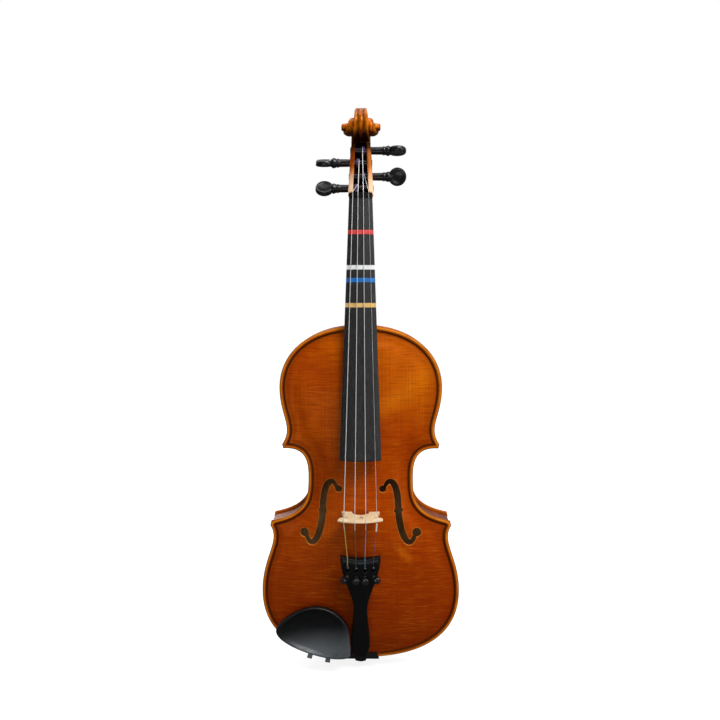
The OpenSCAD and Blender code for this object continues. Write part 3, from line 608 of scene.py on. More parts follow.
def painted_sheen(f, x, h, middle, slant, across, along):
    """Painted sheen, a soft bright band on the varnish: across gives its two edges, along half its length."""
    c, s = math.cos(math.radians(slant)), math.sin(math.radians(slant))
    x, h = x - middle[0], h - middle[1]
    forward = x * c + h * s
    bent = h * c - x * s - f.math("POWER", abs(forward), 2.0) * 0.004
    ends = f.span(abs(forward), along * 0.3, along, 0.5, 0.0)
    return f.band(bent, across[0], 0.0, 0.0, across[1]) * ends


def channel(f):
    """How far a point lies in the hollow along a plate's edge, from 0 to 1; dark varnish and painted shade go
    there.
    """
    return f.band(f.attribute("edge"), 3.1, 4.0, 5.4, 6.8)


def belly_spruce():
    f = Finish("belly_spruce")
    edge, x, h = f.attribute("edge"), f.axis(0), f.height()
    grain = f.noise((1.5, 0.05, 0.012), 2.5, distortion=0.15)
    streak = f.noise((0.05, 0.05, 0.9), distortion=0.8)
    speck = f.noise((1.1, 0.2, 0.7), roughness=0.7)
    tone = f.coats(
        f.ramp(f.noise((0.018, 0.02, 0.012)), (0.3, 164, 56, 1), (0.55, 182, 68, 1), (0.75, 198, 84, 3)),
        # painted highlight: brighter towards the upper bout's treble side
        (f.span(x * 0.7 + h, 270, 340, 0.0, 0.5), 230, 116, 10),
        # two painted sheen bands: reflections painted into the colour
        (painted_sheen(f, x, h, (48, 288), 38, (-20, 18), 60), 236, 128, 14),
        (painted_sheen(f, x, h, (44, 118), -47, (-7, 7), 20), 230, 120, 16),
        # painted shade: darker towards the bottom of the belly
        (f.span(x * 0.25 + h, 20, 200, 0.75, 0.0), 128, 36, 2),
        (f.span(grain, 0.42, 0.62, 0.0, 0.3), 132, 38, 1),
        (f.span(streak, 0.5, 0.7, 0.0, 0.26), 226, 122, 18),
        (f.span(streak, 0.5, 0.34, 0.0, 0.34), 112, 30, 1),
        (f.span(speck, 0.56, 0.72, 0.0, 0.45), 92, 24, 1),
        # darker towards the edge and in the channel: dark varnish gathered there, with painted shade
        (f.span(edge, 4.0, 16.0, 0.45, 0.0), 122, 34, 1),
        (channel(f) * 0.8, 60, 15, 1),
        # painted highlight along the crest of the rounded rim, broken up by noise
        (f.fade(edge, 1.9, 3.1) * f.span(f.noise(0.06, 4), 0.3, 0.6, 0.5, 1.0), 222, 128, 24),
        (f.span(edge, 0.3, 1.4, 0.8, 0.0), 104, 38, 4),
        # pale bare wood at the sound holes' cut edges, with a painted highlight along them
        (f.span(f.attribute("cut"), 0.15, 0.45, 0.7, 0.0), 222, 140, 52),
    )
    f.bump(grain * 0.7 + streak * 0.3, 0.05)
    return varnish(f, tone, 0.34)


def maple(name, slot, light, dark, flame, worn=None):
    """Flamed maple under varnish. flame is the frequency of the flames along each axis."""
    f = Finish(name, slot)
    bands = f.noise(flame, 2.5, distortion=0.8)
    pores = f.noise((2.5, 2.5, 0.3), 2)
    tone = f.coats(
        f.ramp(bands, (0.32, *dark), (0.62, *light)),
        (f.span(f.noise((0.5, 0.5, 0.06), 4), 0.35, 0.7, 0.0, 0.45), *dark),
        (f.span(pores, 0.6, 0.72, 0.0, 0.35), 60, 18, 3),
    )
    # the finish's edge and wear tones, with painted shade and highlights
    if worn:
        tone = worn(f, tone)
    f.bump(pores * 0.5 + bands * 0.5, 0.05)
    return varnish(f, tone, 0.3)


def plate_edge(f, tone):
    """Dark varnish with painted shade in the channel, a painted highlight on the rounded rim, by distance
    from the edge.
    """
    # painted highlight on the rounded rim
    rim = f.span(f.attribute("edge"), 1.6, 3.1, 0.75, 0.0)
    return f.coats(tone, (channel(f) * 0.75, 56, 15, 2), (rim, 192, 98, 20))


def head_wear_and_painted_light(f, tone):
    """Pale bare cheeks near the nut, darker higher up; painted shade underneath and in the carving, painted
    ridge highlights.
    """
    over_nut, aside = f.height() - NUT_H, abs(f.axis(0))
    normal, pointed = [f.node("ShaderNodeNewGeometry", output=key) for key in ("Normal", "Pointiness")]
    upper, front = f.span(over_nut, 22, 44), f.fade(f.axis(1), -7, -1.5)
    cheek = front * f.span(aside, 6.5, 8.0)
    ledge = front * f.fade(aside, 8.1, 8.5) * f.band(over_nut, 5.0, 5.3, 6.8, 7.4)
    return f.coats(
        tone,
        (upper * f.fade(over_nut, 58, 68) * 0.85, 120, 40, 3),
        # painted shade on surfaces that face down
        (upper * f.span(f.part(normal, 2), -0.75, -0.05, 0.85, 0.0), 48, 14, 2),
        # painted highlight on the scroll's sharp ridges
        (f.span(pointed, 0.54, 0.64, 0.0, 0.6) * f.span(over_nut, 60, 64), 255, 186, 70),
        (cheek * f.band(over_nut, 2, 6, 10, 36), 248, 208, 172),
        # painted shade in the pegbox hollow, the throat, the carving's grooves and the step at the nut end
        (f.math("MAXIMUM", ledge, f.attribute("recess")), 34, 9, 1),
    )


def purfling_wood():
    """Three strips: black, pale, black, by the distance from the plate's edge."""
    f = Finish("purfling", Roughness=0.45, Specular_IOR_Level=0.25, Specular_Tint=AMBER)
    tone = f.ramp(f.noise(1.0), (0.3, 26, 9, 2), (0.7, 44, 15, 3))
    pale = f.band(f.attribute("edge"), 4.55, 4.7, 5.0, 5.15)
    return f.use(Base_Color=f.coats(tone, (pale * 0.4, 116, 50, 8)))


# -------- other materials
def inside_wood():
    """Bare wood inside the body. It glows a little, more so low down, as if lit through the sound holes."""
    f = Finish("inside_wood", Roughness=0.75)
    grain, stain = f.noise((1.2, 1.2, 0.03)), f.noise(0.05)
    tone = f.ramp(grain, (0.35, 150, 108, 66), (0.65, 190, 150, 100))
    tone = f.coats(tone, (f.span(stain, 0.4, 0.75, 0.0, 0.4), 110, 74, 42))
    f.bump(grain, 0.08)
    glow = f.span(stain, 0.35, 0.65, 0.02, 0.08) * f.span(f.height(), 182, 150, 0.1, 1.0)
    return f.use(Base_Color=tone, Emission_Color=tone, Emission_Strength=glow)


def ebony(name, level, rough, grey, specular):
    """Black wood with fine pores along its length, and greyer where a highlight is painted, as on the
    tailpiece's ridge.
    """
    f = Finish(name, Specular_IOR_Level=specular)
    streak = f.noise((1.4, 1.4, 0.03), 4)
    pores = f.noise((4.0, 4.0, 0.25), 2)
    tone = f.ramp(streak, (0.3, level, level, level), (0.72, grey, grey, grey + 1))
    f.bump(pores * 0.6 + streak * 0.4, 0.03)
    # painted highlight where the attribute is set
    return f.use(Base_Color=f.coats(tone, (f.attribute("worn") * 0.8, 84, 86, 88)),
                 Roughness=f.span(pores, 0.3, 0.75, rough - 0.06, rough + 0.12))


def chin_black():
    """Matt moulded black with a fine speckled texture; towards its lower edge a painted reflection turns it
    grey-blue.
    """
    f = Finish("chin_rest_black", Specular_IOR_Level=0.3)
    speck = f.noise(1.6, 4, 0.7)
    # painted reflection: speckled grey-blue for the lower part
    painted_reflection = f.ramp(speck, (0.3, 62, 66, 70), (0.7, 104, 109, 113))
    low = f.span(f.height() - f.axis(0) * 0.12, 50, 18, 0.0, 0.9)
    tone = f.ramp(speck, (0.35, 2, 2, 3), (0.7, 10, 11, 12))
    f.bump(speck, 0.06)
    return f.use(Base_Color=f.mix(low, tone, painted_reflection),
                 Roughness=f.span(f.noise((0.08, 0.08, 0.16), 4), 0.3, 0.7, 0.3, 0.46))


def bridge_maple():
    f = Finish("bridge_maple", Roughness=0.55)
    cloud = f.noise(0.15, 4)
    tone = f.ramp(cloud, (0.3, 226, 196, 150), (0.7, 244, 224, 184))
    f.bump(cloud, 0.05)
    return f.use(Base_Color=f.coats(tone, (f.flecks((0.35, 2.6, 1.1), 0.3) * 0.5, 190, 148, 98)))


def metal(name, slot, tone, rough):
    f = Finish(name, slot, Metallic=1.0)
    brushed = f.noise(3.0)
    f.bump(brushed, 0.01)
    tint = f.coats(colour(*tone), (f.span(brushed, 0.3, 0.7, 0.0, 0.6), 60, 60, 62))
    return f.use(Base_Color=tint, Roughness=f.span(brushed, 0.3, 0.7, rough, rough + 0.14))


def grained(name, scale, detail, raised, *stops, harsh=0.55, **shader):
    """A plain material whose colour and surface follow one fine noise."""
    f = Finish(name, **shader)
    grain = f.noise(scale, detail, harsh)
    f.bump(grain, raised)
    return f.use(Base_Color=f.ramp(grain, *stops))


def silk(name, dark, light):
    return grained(name, (2.5, 2.5, 5.0), 2, 0.05, (0.35, *dark), (0.65, *light),
                   Roughness=0.7, Sheen_Weight=0.3)


def tape(name, dark, light):
    return grained(name, (0.5, 0.5, 0.12), 3, 0.06, (0.3, *dark), (0.6, *light),
                   Roughness=0.42, Specular_IOR_Level=0.4)


SPRUCE = belly_spruce()
BACK_MAPLE = maple("back_maple", "maple", (192, 88, 12), (124, 42, 3), (0.02, 0.02, 0.16), plate_edge)
RIB_MAPLE = maple("rib_maple", "maple", (132, 52, 9), (78, 26, 4), (0.14, 0.02, 0.14))
HEAD_MAPLE = maple("scroll_maple", None, (228, 122, 10), (128, 46, 2), (0.22, 0.2, 0.09), head_wear_and_painted_light)
INSIDE = inside_wood()
PURFLING = purfling_wood()
BOARD_BLACK = ebony("fingerboard_black", 14, 0.46, 52, 0.34)
PEG_BLACK = ebony("peg_black", 6, 0.28, 18, 0.5)
TAIL_BLACK = ebony("tailpiece_black", 4, 0.42, 10, 0.22)
KNOB_BLACK = ebony("knob_black", 5, 0.14, 12, 0.9)
GUT_BLACK = ebony("gut_black", 8, 0.4, 18, 0.5)
CHIN_BLACK = chin_black()
BRIDGE_MAPLE = bridge_maple()
BRIGHT = metal("bright_metal", None, (222, 222, 224), 0.22)
DARK_METAL = metal("dark_metal", "bright_metal", (70, 70, 74), 0.3)
STEEL = grained("string_steel", (0.3, 0.3, 6.0), 2, 0.01, (0.3, 206, 204, 200), (0.7, 248, 247, 244),
                Metallic=0.4, Roughness=0.32)
WHITE = grained("sleeve_white", 0.8, 3, 0.02, (0.3, 214, 212, 206), (0.7, 240, 238, 232), Roughness=0.35)
CORK = grained("cork", 1.6, 4, 0.2, (0.35, 96, 62, 34), (0.5, 176, 128, 78), (0.7, 204, 160, 106),
               harsh=0.7, Roughness=0.85)
TAPES = [
    tape("tape_red", (204, 44, 46), (232, 74, 72)),
    tape("tape_white", (226, 229, 228), (250, 251, 250)),
    tape("tape_blue", (16, 98, 178), (30, 126, 210)),
    tape("tape_yellow", (212, 164, 84), (238, 196, 118)),
]
SILKS = [
    silk("silk_yellow", (150, 120, 30), (206, 176, 62)),
    silk("silk_green", (34, 44, 16), (70, 84, 34)),
    silk("silk_blue", (64, 104, 130), (112, 156, 178)),
    silk("silk_violet", (70, 34, 76), (112, 62, 112)),
]
PEG_SILK = silk("silk_purple", (54, 36, 92), (96, 66, 140))


# -------- belly and back
EYE_UPPER, EYE_UPPER_R = (22.9, 186.6), 3.9
EYE_LOWER, EYE_LOWER_R = (59, 138.6), 4.9
STEM = [
    [(25.4, 188.2), (27, 197.5), (38.6, 199), (39.5, 166)],
    [(39.5, 166), (40.3, 137.5), (51.5, 117), (56.8, 136)],
]
NICK_H, NICK_HALF, NICK_DEPTH = 162.5, 1.9, 2.3
CHANNEL_AT = 6.4
CHANNEL_DEPTH = 0.9
BAND = (4.2, 5.5)
BAND_DEPTH = 1.2
INLAY_PROUD = 0.02
BUTTON_HALF = 10.5
BUTTON_H = LENGTH + 1.5
RIM, INNER_RIM = 2.0, 1.2  # radii of the plates' rounded edges
HEEL_HALF = 15.4
SADDLE_HALF, SADDLE_TOP = 19.6, 6.55
PLATE_LINE = outline(0, 60)


def arch(flat):
    x, h = flat.T
    u = np.clip(np.abs(x) / np.interp(h, *zip(*ARCH_HALF)), 0, 1)
    v = np.minimum(1, np.abs(2 * h / LENGTH - 1))
    return ARCH_RISE * (1 - u * u) ** 1.5 * (1 - v**3.2)


def outer_height(flat, edge, rim):
    """Height of a plate's outside over the ribs: rounded rim, channel, then the arch."""
    dip = CHANNEL_DEPTH * np.exp(-(((edge - CHANNEL_AT) / 2.3) ** 2)) * ease((rim - 2.2) / 1.6)
    return EDGE + arch(flat) * ease((edge - 5.5) / 18) - dip - round_over(rim, RIM)


def inner_height(flat, edge, rim):
    full = EDGE + arch(flat) * ease((edge - 5.5) / 18) - PLATE
    return np.maximum(round_over(rim, INNER_RIM), full * ease((edge - 8) / 9))


def sound_hole(side):
    """The closed lines of a sound hole's stroke and its two eyes."""
    t = np.linspace(0, 1, 60)
    where = np.concatenate([bezier(STEM[0], t), bezier(STEM[1], t[1:])])
    way = unit(np.concatenate([slope(STEM[0], t), slope(STEM[1], t[1:])]))
    run = np.linspace(0, 1, len(where))
    half = 1.3 + 0.5 * run + 2.1 * np.sin(np.pi * run) ** 0.45
    half += NICK_DEPTH * np.clip(1 - np.abs(where[:, 1] - NICK_H) / NICK_HALF, 0, 1)
    across = left_of(way) * half[:, None]
    stroke = np.concatenate([where + across, (where - across)[::-1]])
    shapes = [stroke, arc(EYE_UPPER, EYE_UPPER_R, 0, 350, 35), arc(EYE_LOWER, EYE_LOWER_R, 0, 350, 35)]
    return [s * (side, 1) for s in shapes]


def body_plate(name, side, finish, added=(), cuts=(), sound_holes=(), rim_line=PLATE_LINE, band_stops=()):
    """A plate and the purfling in its groove. side is -1 for the front; the first of added encloses wood."""
    rings = [outline(i) for i in (0, 0.2, 0.6, 1.2, 2.0, 3.0, *BAND, 7.0, 8.6, 10.5)]
    filler = grid((-110, -2), (110, LENGTH + 16), 2.6)
    filler = filler[inside(filler, outline(11.5, 60))]
    for hole in sound_holes:
        filler = filler[distance(filler, hole) > 0.8]
    flat, triangles = triangulate(rings + [*added, *cuts], filler, [PLATE_LINE, *added[:1]], cuts)
    edge = distance(flat, PLATE_LINE) * inside(flat, outline(-0.02, 60))
    rim = distance(flat, rim_line)
    centres = flat[triangles].mean(1)
    centre_edge = distance(centres, PLATE_LINE)
    band = (centre_edge > BAND[0]) & (centre_edge < BAND[1]) & inside(centres, PLATE_LINE)
    for low, high in band_stops:
        band &= ~((centres > low) & (centres < high)).all(1)
    cut = np.min([distance(flat, hole) for hole in sound_holes] or [np.full(len(flat), 9.0)], axis=0)

    def place(points, height):
        return np.stack([points[:, 0], side * (RIB_Y + height), points[:, 1] + BOTTOM], 1)

    top = outer_height(flat, edge, rim)
    shell = plate(flat, triangles, top, inner_height(flat, edge, rim), place, band, BAND_DEPTH)
    layer = np.zeros(len(shell[1]))
    layer[len(triangles):2 * len(triangles)] = centre_edge > OVERHANG
    piece(name + "_arched", name, shell, [finish, INSIDE], crease=50, layer=layer,
          shade={"edge": np.tile(rim, 3), "cut": np.tile(cut, 3)})
    proud = top + INLAY_PROUD
    inlay = plate(flat, triangles[band], proud, proud - BAND_DEPTH, place)
    piece(name + "_inlay", name + "_purfling", inlay, [PURFLING], crease=50, shade={"edge": np.tile(edge, 3)})


def make_belly():
    mortise = mirrored([(HEEL_HALF, 349), (HEEL_HALF, 362)])
    s = SADDLE_HALF
    saddle = mirrored([(s, -3), (s - 0.05, 0.35), (s - 2.05, SADDLE_TOP)])
    holes = sound_hole(1) + sound_hole(-1)
    stops = [((-19, LENGTH - 9), (19, LENGTH + 9)), ((-22, -1), (22, 8))]
    body_plate("belly", -1, SPRUCE, cuts=[*holes, mortise, saddle], sound_holes=holes, band_stops=stops)


def make_back():
    def closed(cap, low):
        return np.concatenate([[(cap[0][0], low)], cap, [(cap[-1][0], low)]])

    cap = arc((0, BUTTON_H), BUTTON_HALF, 0, 180, 24)
    beside = (PLATE_LINE[:, 1] <= 340) | (np.abs(PLATE_LINE[:, 0]) >= BUTTON_HALF)
    right, left = [PLATE_LINE[beside & way] for way in (PLATE_LINE[:, 0] > 0, PLATE_LINE[:, 0] <= 0)]
    inner = [closed(arc((0, BUTTON_H), BUTTON_HALF - d, 0, 180, 20), LENGTH - 6)
             for d in (0.2, 0.6, 1.2, 2.0, 3.0, 5.0, 8.0)]
    body_plate("back", 1, BACK_MAPLE, added=[closed(cap, LENGTH - 12), *inner],
               rim_line=np.concatenate([cap[::-1], right, left]))


def wall(outer, inner, front, back, side):
    """A standing strip between two lines of the outline, from one depth to another."""
    rings = []
    for o, i in zip(outer, inner):
        corners = [(o, front), (o, back), (i, back), (i, front)]
        rings.append([(side * p[0], y, p[1] + BOTTOM) for p, y in corners])
    return closed_loft(rings)


def make_ribs():
    """Each rib as a bent strip between its outer and inner lines."""
    spread = np.linspace(0, 1, 80)
    outsides, insides = half_lines(OVERHANG, 40), half_lines(OVERHANG + RIB, 40)
    for part, *lines in zip(("upper", "waist", "lower"), outsides, insides):
        outer, inner = [resampled(line, spread) for line in lines]
        for side, word in ((1, "treble"), (-1, "bass")):
            node = f"rib_{part}_{word}"
            piece(node + "_strip", node, wall(outer, inner, -RIB_Y, RIB_Y, side), [RIB_MAPLE])


# -------- neck and head
BOARD_DROP = 0.1154
CROWN_AT_NUT = -(EDGE_Y + 1)
BOARD_EDGE = 5.0
NECK_FOOT = LENGTH - 7
BACK_PROFILE = [
    (NECK_FOOT, RIB_Y), (LENGTH, RIB_Y), (LENGTH + 10, RIB_Y - 1.5), (LENGTH + 14, 9), (LENGTH + 18, 0.5),
    (LENGTH + 23, -6), (LENGTH + 30, -9.6), (LENGTH + 42, -10.6), (NUT_H - 40, -6.8), (NUT_H - 10, -3),
    (NUT_H - 2, -1.4), (NUT_H + 5, 2.8), (NUT_H + 14, 7.4), (NUT_H + 26, 10.2), (NUT_H + 42, 12.2),
    (NUT_H + 54, 14.6), (NUT_H + 62, 18),
]
WIDTH_PROFILE = [
    (NECK_FOOT, 15.3), (LENGTH, 15.3), (LENGTH + 12, 13.8), (LENGTH + 26, 14.6), (NUT_H - 14, 11.9),
    (NUT_H, 12), (NUT_H + 4, 13), (NUT_H + 20, 12.2), (NUT_H + 52, 10.6), (NUT_H + 58, 9.6),
    (NUT_H + 62, 7.4),
]
SQUARENESS = [
    (NECK_FOOT, 2.3), (LENGTH + 30, 2), (NUT_H - 12, 2), (NUT_H + 6, 3), (NUT_H + 20, 4.2), (NUT_H + 62, 4.2),
]
HOLLOW_LOW, HOLLOW_HIGH = NUT_H + 6.5, NUT_H + 59.5
HOLLOW_HALF = (8.2, 5.6)
HOLLOW_FLOOR = [
    (HOLLOW_LOW, 0.2), (NUT_H + 9, 2.9), (NUT_H + 12, 4.0), (NUT_H + 19, 5.2), (NUT_H + 29, 7.0),
    (NUT_H + 39, 8.9), (NUT_H + 49, 10.5), (HOLLOW_HIGH, 11.5),
]
EYE_Y, EYE_H, EYE_HALF, EYE_R = 8.0, 562.5, 20.4, 3.8
CORE_R = EYE_R - 1.2
SPIRAL_START, SPIRAL_END = -75, 1080
SPIRAL_RADIUS = [
    (SPIRAL_START, 23.0), (0, 21.8), (60, 20.6), (90, 19.6), (180, 18.0), (270, 16.8), (360, 12.6),
    (450, 9.6), (540, 9.4), (630, 9.3), (720, 6.5), (810, 4.2), (900, 4.1), (990, 4.0), (SPIRAL_END, 3.8),
]
SPIRAL_HALF = [
    (SPIRAL_START, 10.2), (0, 9.0), (60, 6.8), (90, 6.1), (180, 7.4), (270, 9.0), (360, 10.4),
    (450, 12.0), (540, 14.2), (630, 17.8), (720, 19.2), (810, 20.0), (900, 20.1), (990, 20.3),
    (SPIRAL_END, 20.4),
]


def sagitta(half, radius):
    return radius - np.sqrt(radius * radius - np.square(half))


def board_crown(h):
    return CROWN_AT_NUT - (NUT_H - h) * BOARD_DROP


def board_half(h):
    return np.interp(h, (BOARD_END_H, NUT_H), (21.2, 12.0))


def glue_plane(h):
    ends = [board_crown(e) + BOARD_EDGE + sagitta(board_half(e), BOARD_RADIUS) for e in (BOARD_END_H, NUT_H)]
    return np.interp(h, (BOARD_END_H, NUT_H), ends)


def box_front(h):
    return -13.4 + (h - NUT_H) * 0.233


def neck_ring(h, steps=26):
    """A flat front and a rounded back, squarer in the pegbox."""
    blend = ease((h - NUT_H - 5.3) / 0.4)
    front = glue_plane(np.minimum(h, NUT_H)) * (1 - blend) + box_front(h) * blend
    half, power = table(h, WIDTH_PROFILE), 2 / table(h, SQUARENESS)
    lip = 0.7 * ease((h - NUT_H) / 8)
    a = np.linspace(0, math.pi, steps + 1)
    x = half * np.sign(np.cos(a)) * np.abs(np.cos(a)) ** power
    y = front + (table(h, BACK_PROFILE) - front) * np.abs(np.sin(a)) ** power
    y[[0, steps]] += lip
    x = np.append(x, [-half + lip * 1.4, half - lip * 1.4])
    return np.stack([x, np.append(y, [front, front]), np.full(len(x), h + BOTTOM)], 1)


def pegbox_hollow():
    """What is cut out between the cheeks, with rounded corners along its floor."""
    rings, r = [], 1.2
    for h in np.linspace(HOLLOW_LOW, HOLLOW_HIGH, 25):
        half, floor = np.interp(h, (HOLLOW_LOW, HOLLOW_HIGH), HOLLOW_HALF), table(h, HOLLOW_FLOOR)
        corner = [(half, floor - r), (half - r * 0.3, floor - r * 0.3), (half - r, floor)]
        right = [(half, box_front(h) - 12), *corner]
        rings.append([(x, y, h + BOTTOM) for x, y in mirrored(right)])
    return closed_loft(rings)


def recess_of(points):
    """How deep a point of the head lies in a carved hollow or under the scroll, from 0 to 1: its share of
    painted shade.
    """
    x, y, h = np.abs(points[:, 0]), points[:, 1], points[:, 2] - BOTTOM
    # painted shade in the throat under the scroll
    throat = ease((h - NUT_H - 44) / 13) * ease((14 - y) / 6)
    half = np.interp(h, (HOLLOW_LOW, HOLLOW_HIGH), HOLLOW_HALF) + 0.1
    along = (h > HOLLOW_LOW - 0.6) & (h < HOLLOW_HIGH + 0.2)
    hollow = along & (x < half) & (y > box_front(h) + 0.8) & (y < table(h, HOLLOW_FLOOR) + 0.6)
    nut_end = (x < HOLLOW_HALF[0] + 0.1) & (h > NUT_H + 5.3) & (h < HOLLOW_LOW + 0.1) & (y < 0)
    return np.clip(throat + hollow + nut_end, 0, 1)


def make_neck():
    stretches = [(NECK_FOOT, LENGTH + 46, 40), (LENGTH + 46, NUT_H - 14, 20), (NUT_H - 14, NUT_H + 5.2, 12),
                 (NUT_H + 5.7, NUT_H + 5.7, 1), (NUT_H + 6.5, NUT_H + 62, 36)]
    stations = np.unique(np.concatenate([np.linspace(*stretch) for stretch in stretches]))
    bore = lathe([(taper_radius(z) + 0.05, z) for z in (-20, 20)], 40)
    bores = [moved(bore, peg_frame(i)) for i in range(4)]
    shell = carved(closed_loft([neck_ring(h) for h in stations]), [pegbox_hollow()] + bores)
    # recess: how much painted shade each point gets
    piece("neck", "neck_and_scroll", shell, [HEAD_MAPLE], crease=38, shade={"recess": recess_of(shell[0])})


def scroll_ring(a):
    """The bar's section at an angle along its spiral, and how much painted shade each of its points gets."""
    u, span = np.linspace(-1, 1, 25), np.linspace(0, 1, 7)[1:]
    r, w = table(a, SPIRAL_RADIUS), table(a, SPIRAL_HALF)
    inner = max(CORE_R, table(a + 360, SPIRAL_RADIUS)) if a + 360 < SPIRAL_END else CORE_R
    flute = 0.7 * np.sin(np.pi * np.clip(np.abs(u) / 0.84, 0, 1)) ** 2 * ease((320 - a) / 60)
    over_top = 1 - 0.6 * math.exp(-(((a - 92) / 40) ** 2))
    chamfer = np.interp(a, (SPIRAL_START, 400, 600), (0.9, 1.2, 2.6)) * min(1.0, (r - inner) / 3)
    reach = np.interp(a, (SPIRAL_START, 400, 600), (0.16, 0.2, 0.3))
    out = r - flute * over_top - chamfer * np.clip((np.abs(u) - 1 + reach) / reach, 0, 1) ** 2
    radii = out[-1] + (inner - out[-1]) * span
    hollow = 1.3 * np.sin(np.pi * span) ** 0.7 * ease((a + 40) / 80) * min(1.0, (r - inner) / 4)
    side = [*zip(radii, w - hollow), (CORE_R, w - 0.3)]
    profile = [*zip(out, u * w), *side, *[(q, -x) for q, x in side[::-1]]]
    # painted shade, deepest where a turn meets the next
    dark = [*(0.85 * span**4 * min(1.0, (r - inner) / 3)), 0.3]
    c, s = math.cos(math.radians(a)), math.sin(math.radians(a))
    ring = [(x, EYE_Y + q * c, EYE_H + q * s + BOTTOM) for q, x in profile]
    return ring, [*(flute * 1.1), *dark, *dark[::-1]]


def make_scroll():
    """The volute as one bar that winds from the throat to the eye, plus the eye."""
    rings, painted_groove_shade = zip(*[scroll_ring(a) for a in np.linspace(SPIRAL_START, SPIRAL_END, 230)])
    profile = [(0.05, EYE_HALF + 0.15), (EYE_R * 0.5, EYE_HALF + 0.1), (EYE_R - 0.9, EYE_HALF),
               (EYE_R - 0.1, EYE_HALF - 0.8), (EYE_R - 0.3, 0)]
    eye = moved(lathe(both_ways(profile), 48), shift(0, EYE_Y, EYE_H + BOTTOM) @ turn(90, "Y"))
    shell = joined(closed_loft(rings), eye)
    x, y, z = shell[0].T
    # painted shade in the throat under the scroll
    throat = ease((EYE_H - 6 - z + BOTTOM) / 9) * ease((12.5 - np.abs(x)) / 4) * ease((16 - y) / 6)
    recess = np.append(np.clip(np.concatenate(painted_groove_shade), 0, 1), np.zeros(len(eye[0])))
    piece("scroll", "neck_and_scroll", shell, [HEAD_MAPLE], crease=40,
          shade={"recess": np.clip(recess + throat * 0.9, 0, 1)})


def make_fingerboard():
    """Crowned above, hollowed below where it stands over the belly."""
    rings = []
    start = BOARD_END_H + np.array([0, 0.25, 0.7])
    u = np.linspace(1, -1, 13)
    for h in [*start, *np.linspace(BOARD_END_H + 3, NUT_H - 0.4, 60), NUT_H - 0.05]:
        inset = 0.7 * (1 - min(1.0, (h - BOARD_END_H) / 0.7)) ** 2
        half, base = board_half(h), glue_plane(h)
        x = np.linspace(-1, 1, 25) * (half - 0.5)
        y = board_crown(h) + sagitta(x, BOARD_RADIUS) + inset
        hollow = 3.0 * ease((352 - h) / 24) * np.sqrt(np.clip(1 - (u / 0.86) ** 2, 0, 1))
        side = [(half - 0.15, y[-1] + 0.18), (half, y[-1] + 0.6), (half, base - 0.4)]
        section = [*zip(x, y), *side, *zip(u * (half - 0.3), base - hollow - inset * 0.3)]
        section += [(-px, py) for px, py in side[::-1]]
        rings.append([(px, py, h + BOTTOM) for px, py in section])
    piece("fingerboard_shaped", "fingerboard", closed_loft(rings), [BOARD_BLACK], crease=50)


# -------- pegs
PEG_H = [NUT_H + 12, NUT_H + 39, NUT_H + 52, NUT_H + 24.5]
PEG_SIDE = [-1, -1, 1, 1]
PEG_Y = [-1.5, 3.8, 6.0, 1.4]
PEG_TURN = [40, 72, 82, 8]
PEG_OUT = 47.5
PEG_HEAD_R = 9.5
PEG_HEAD = [
    (0.05, 1.55), (2.5, 1.6), (4.6, 1.9), (6.4, 2.5), (7.6, 2.95), (8.5, 2.9), (9.15, 2.2), (9.45, 1.2),
    (PEG_HEAD_R, 0),
]
PEG_COLLAR = [
    (4.2, 22.9), (4.55, 23.2), (4.75, 23.7), (4.7, 24.4), (4.35, 24.9), (4.25, 25.3), (4.35, 25.7),
    (4.75, 26.1), (4.85, 26.8), (5.15, 27.6), (5.45, 28.5), (5.0, 29.7), (4.0, 31.0), (2.6, 33), (0.05, 33.5),
]


def taper_radius(along):
    return 3.9 - (12 - along) / 60


def peg_frame(i):
    return shift(0, PEG_Y[i], PEG_H[i] + BOTTOM) @ turn(90 * PEG_SIDE[i], "Y")


def make_pegs():
    """A turned shank with its collar, and a dished head across it."""
    for i, n in enumerate(NAMES):
        start = -np.interp(PEG_H[i], *zip(*WIDTH_PROFILE)) - 0.6
        shank = [(0.05, start), (taper_radius(start) - 0.4, start), (taper_radius(start), start + 0.5)]
        shank += [(taper_radius(z), z) for z in np.linspace(start + 1.5, 22.4, 10)]
        disc = moved(lathe(both_ways(PEG_HEAD), 56), turn(90, "X"))
        disc = moved(disc, shift(0, 0, PEG_OUT - PEG_HEAD_R) @ turn(PEG_TURN[i], "Z"))
        shell = carved(lathe(shank + PEG_COLLAR, 48), added=[disc])
        node = f"peg_{n}"
        piece(node + "_turned", node, moved(shell, peg_frame(i)), [PEG_BLACK], body=node, crease=40)


# -------- tailpiece and tuners
TAIL_TOP = (-53.0, 121.0)
TAIL_TILT = 10.8
TAIL_LENGTH = 117.0
TAIL_CROWN = 90.0
TAIL_END_R = 80.0  # radius of the curved upper end
TAIL_DEPTH = 7.0
TAIL_CURVES = [
    [(20.8, 0), (20, -27), (8, -40), (7, -60)],
    [(7, -60), (7, -75), (9.8, -88), (9.8, -101)],
    [(9.8, -101), (9.8, -111), (6, -TAIL_LENGTH), (0, -TAIL_LENGTH)],
]
TUNER_X = [-13.2, -4.6, 4.6, 13.2]
SCREW_X = [-13.9, -4.6, 4.6, 13.9]
SCREW_Z = -22.0
SCREW_SPLAY = [-24, 0, 0, 24]
RIDGE = 0.55
TAIL = shift(0, TAIL_TOP[0], TAIL_TOP[1] + BOTTOM) @ turn(TAIL_TILT, "X")
KNOB = [
    (0.05, 9.45), (1.2, 9.4), (2.2, 9.2), (3.0, 8.8), (3.6, 8.2), (3.9, 7.6), (4.0, 6.9), (4.0, 5.2),
    (3.9, 4.9), (3.2, 4.4), (2.9, 3.6), (2.9, 3.1), (2.6, 2.7), (0.05, 2.65),
]
KNOB_FOOT = 4.3  # below this height a knob is bright


def in_tail(points):
    return moved((np.asarray(points, float), None), TAIL)[0]


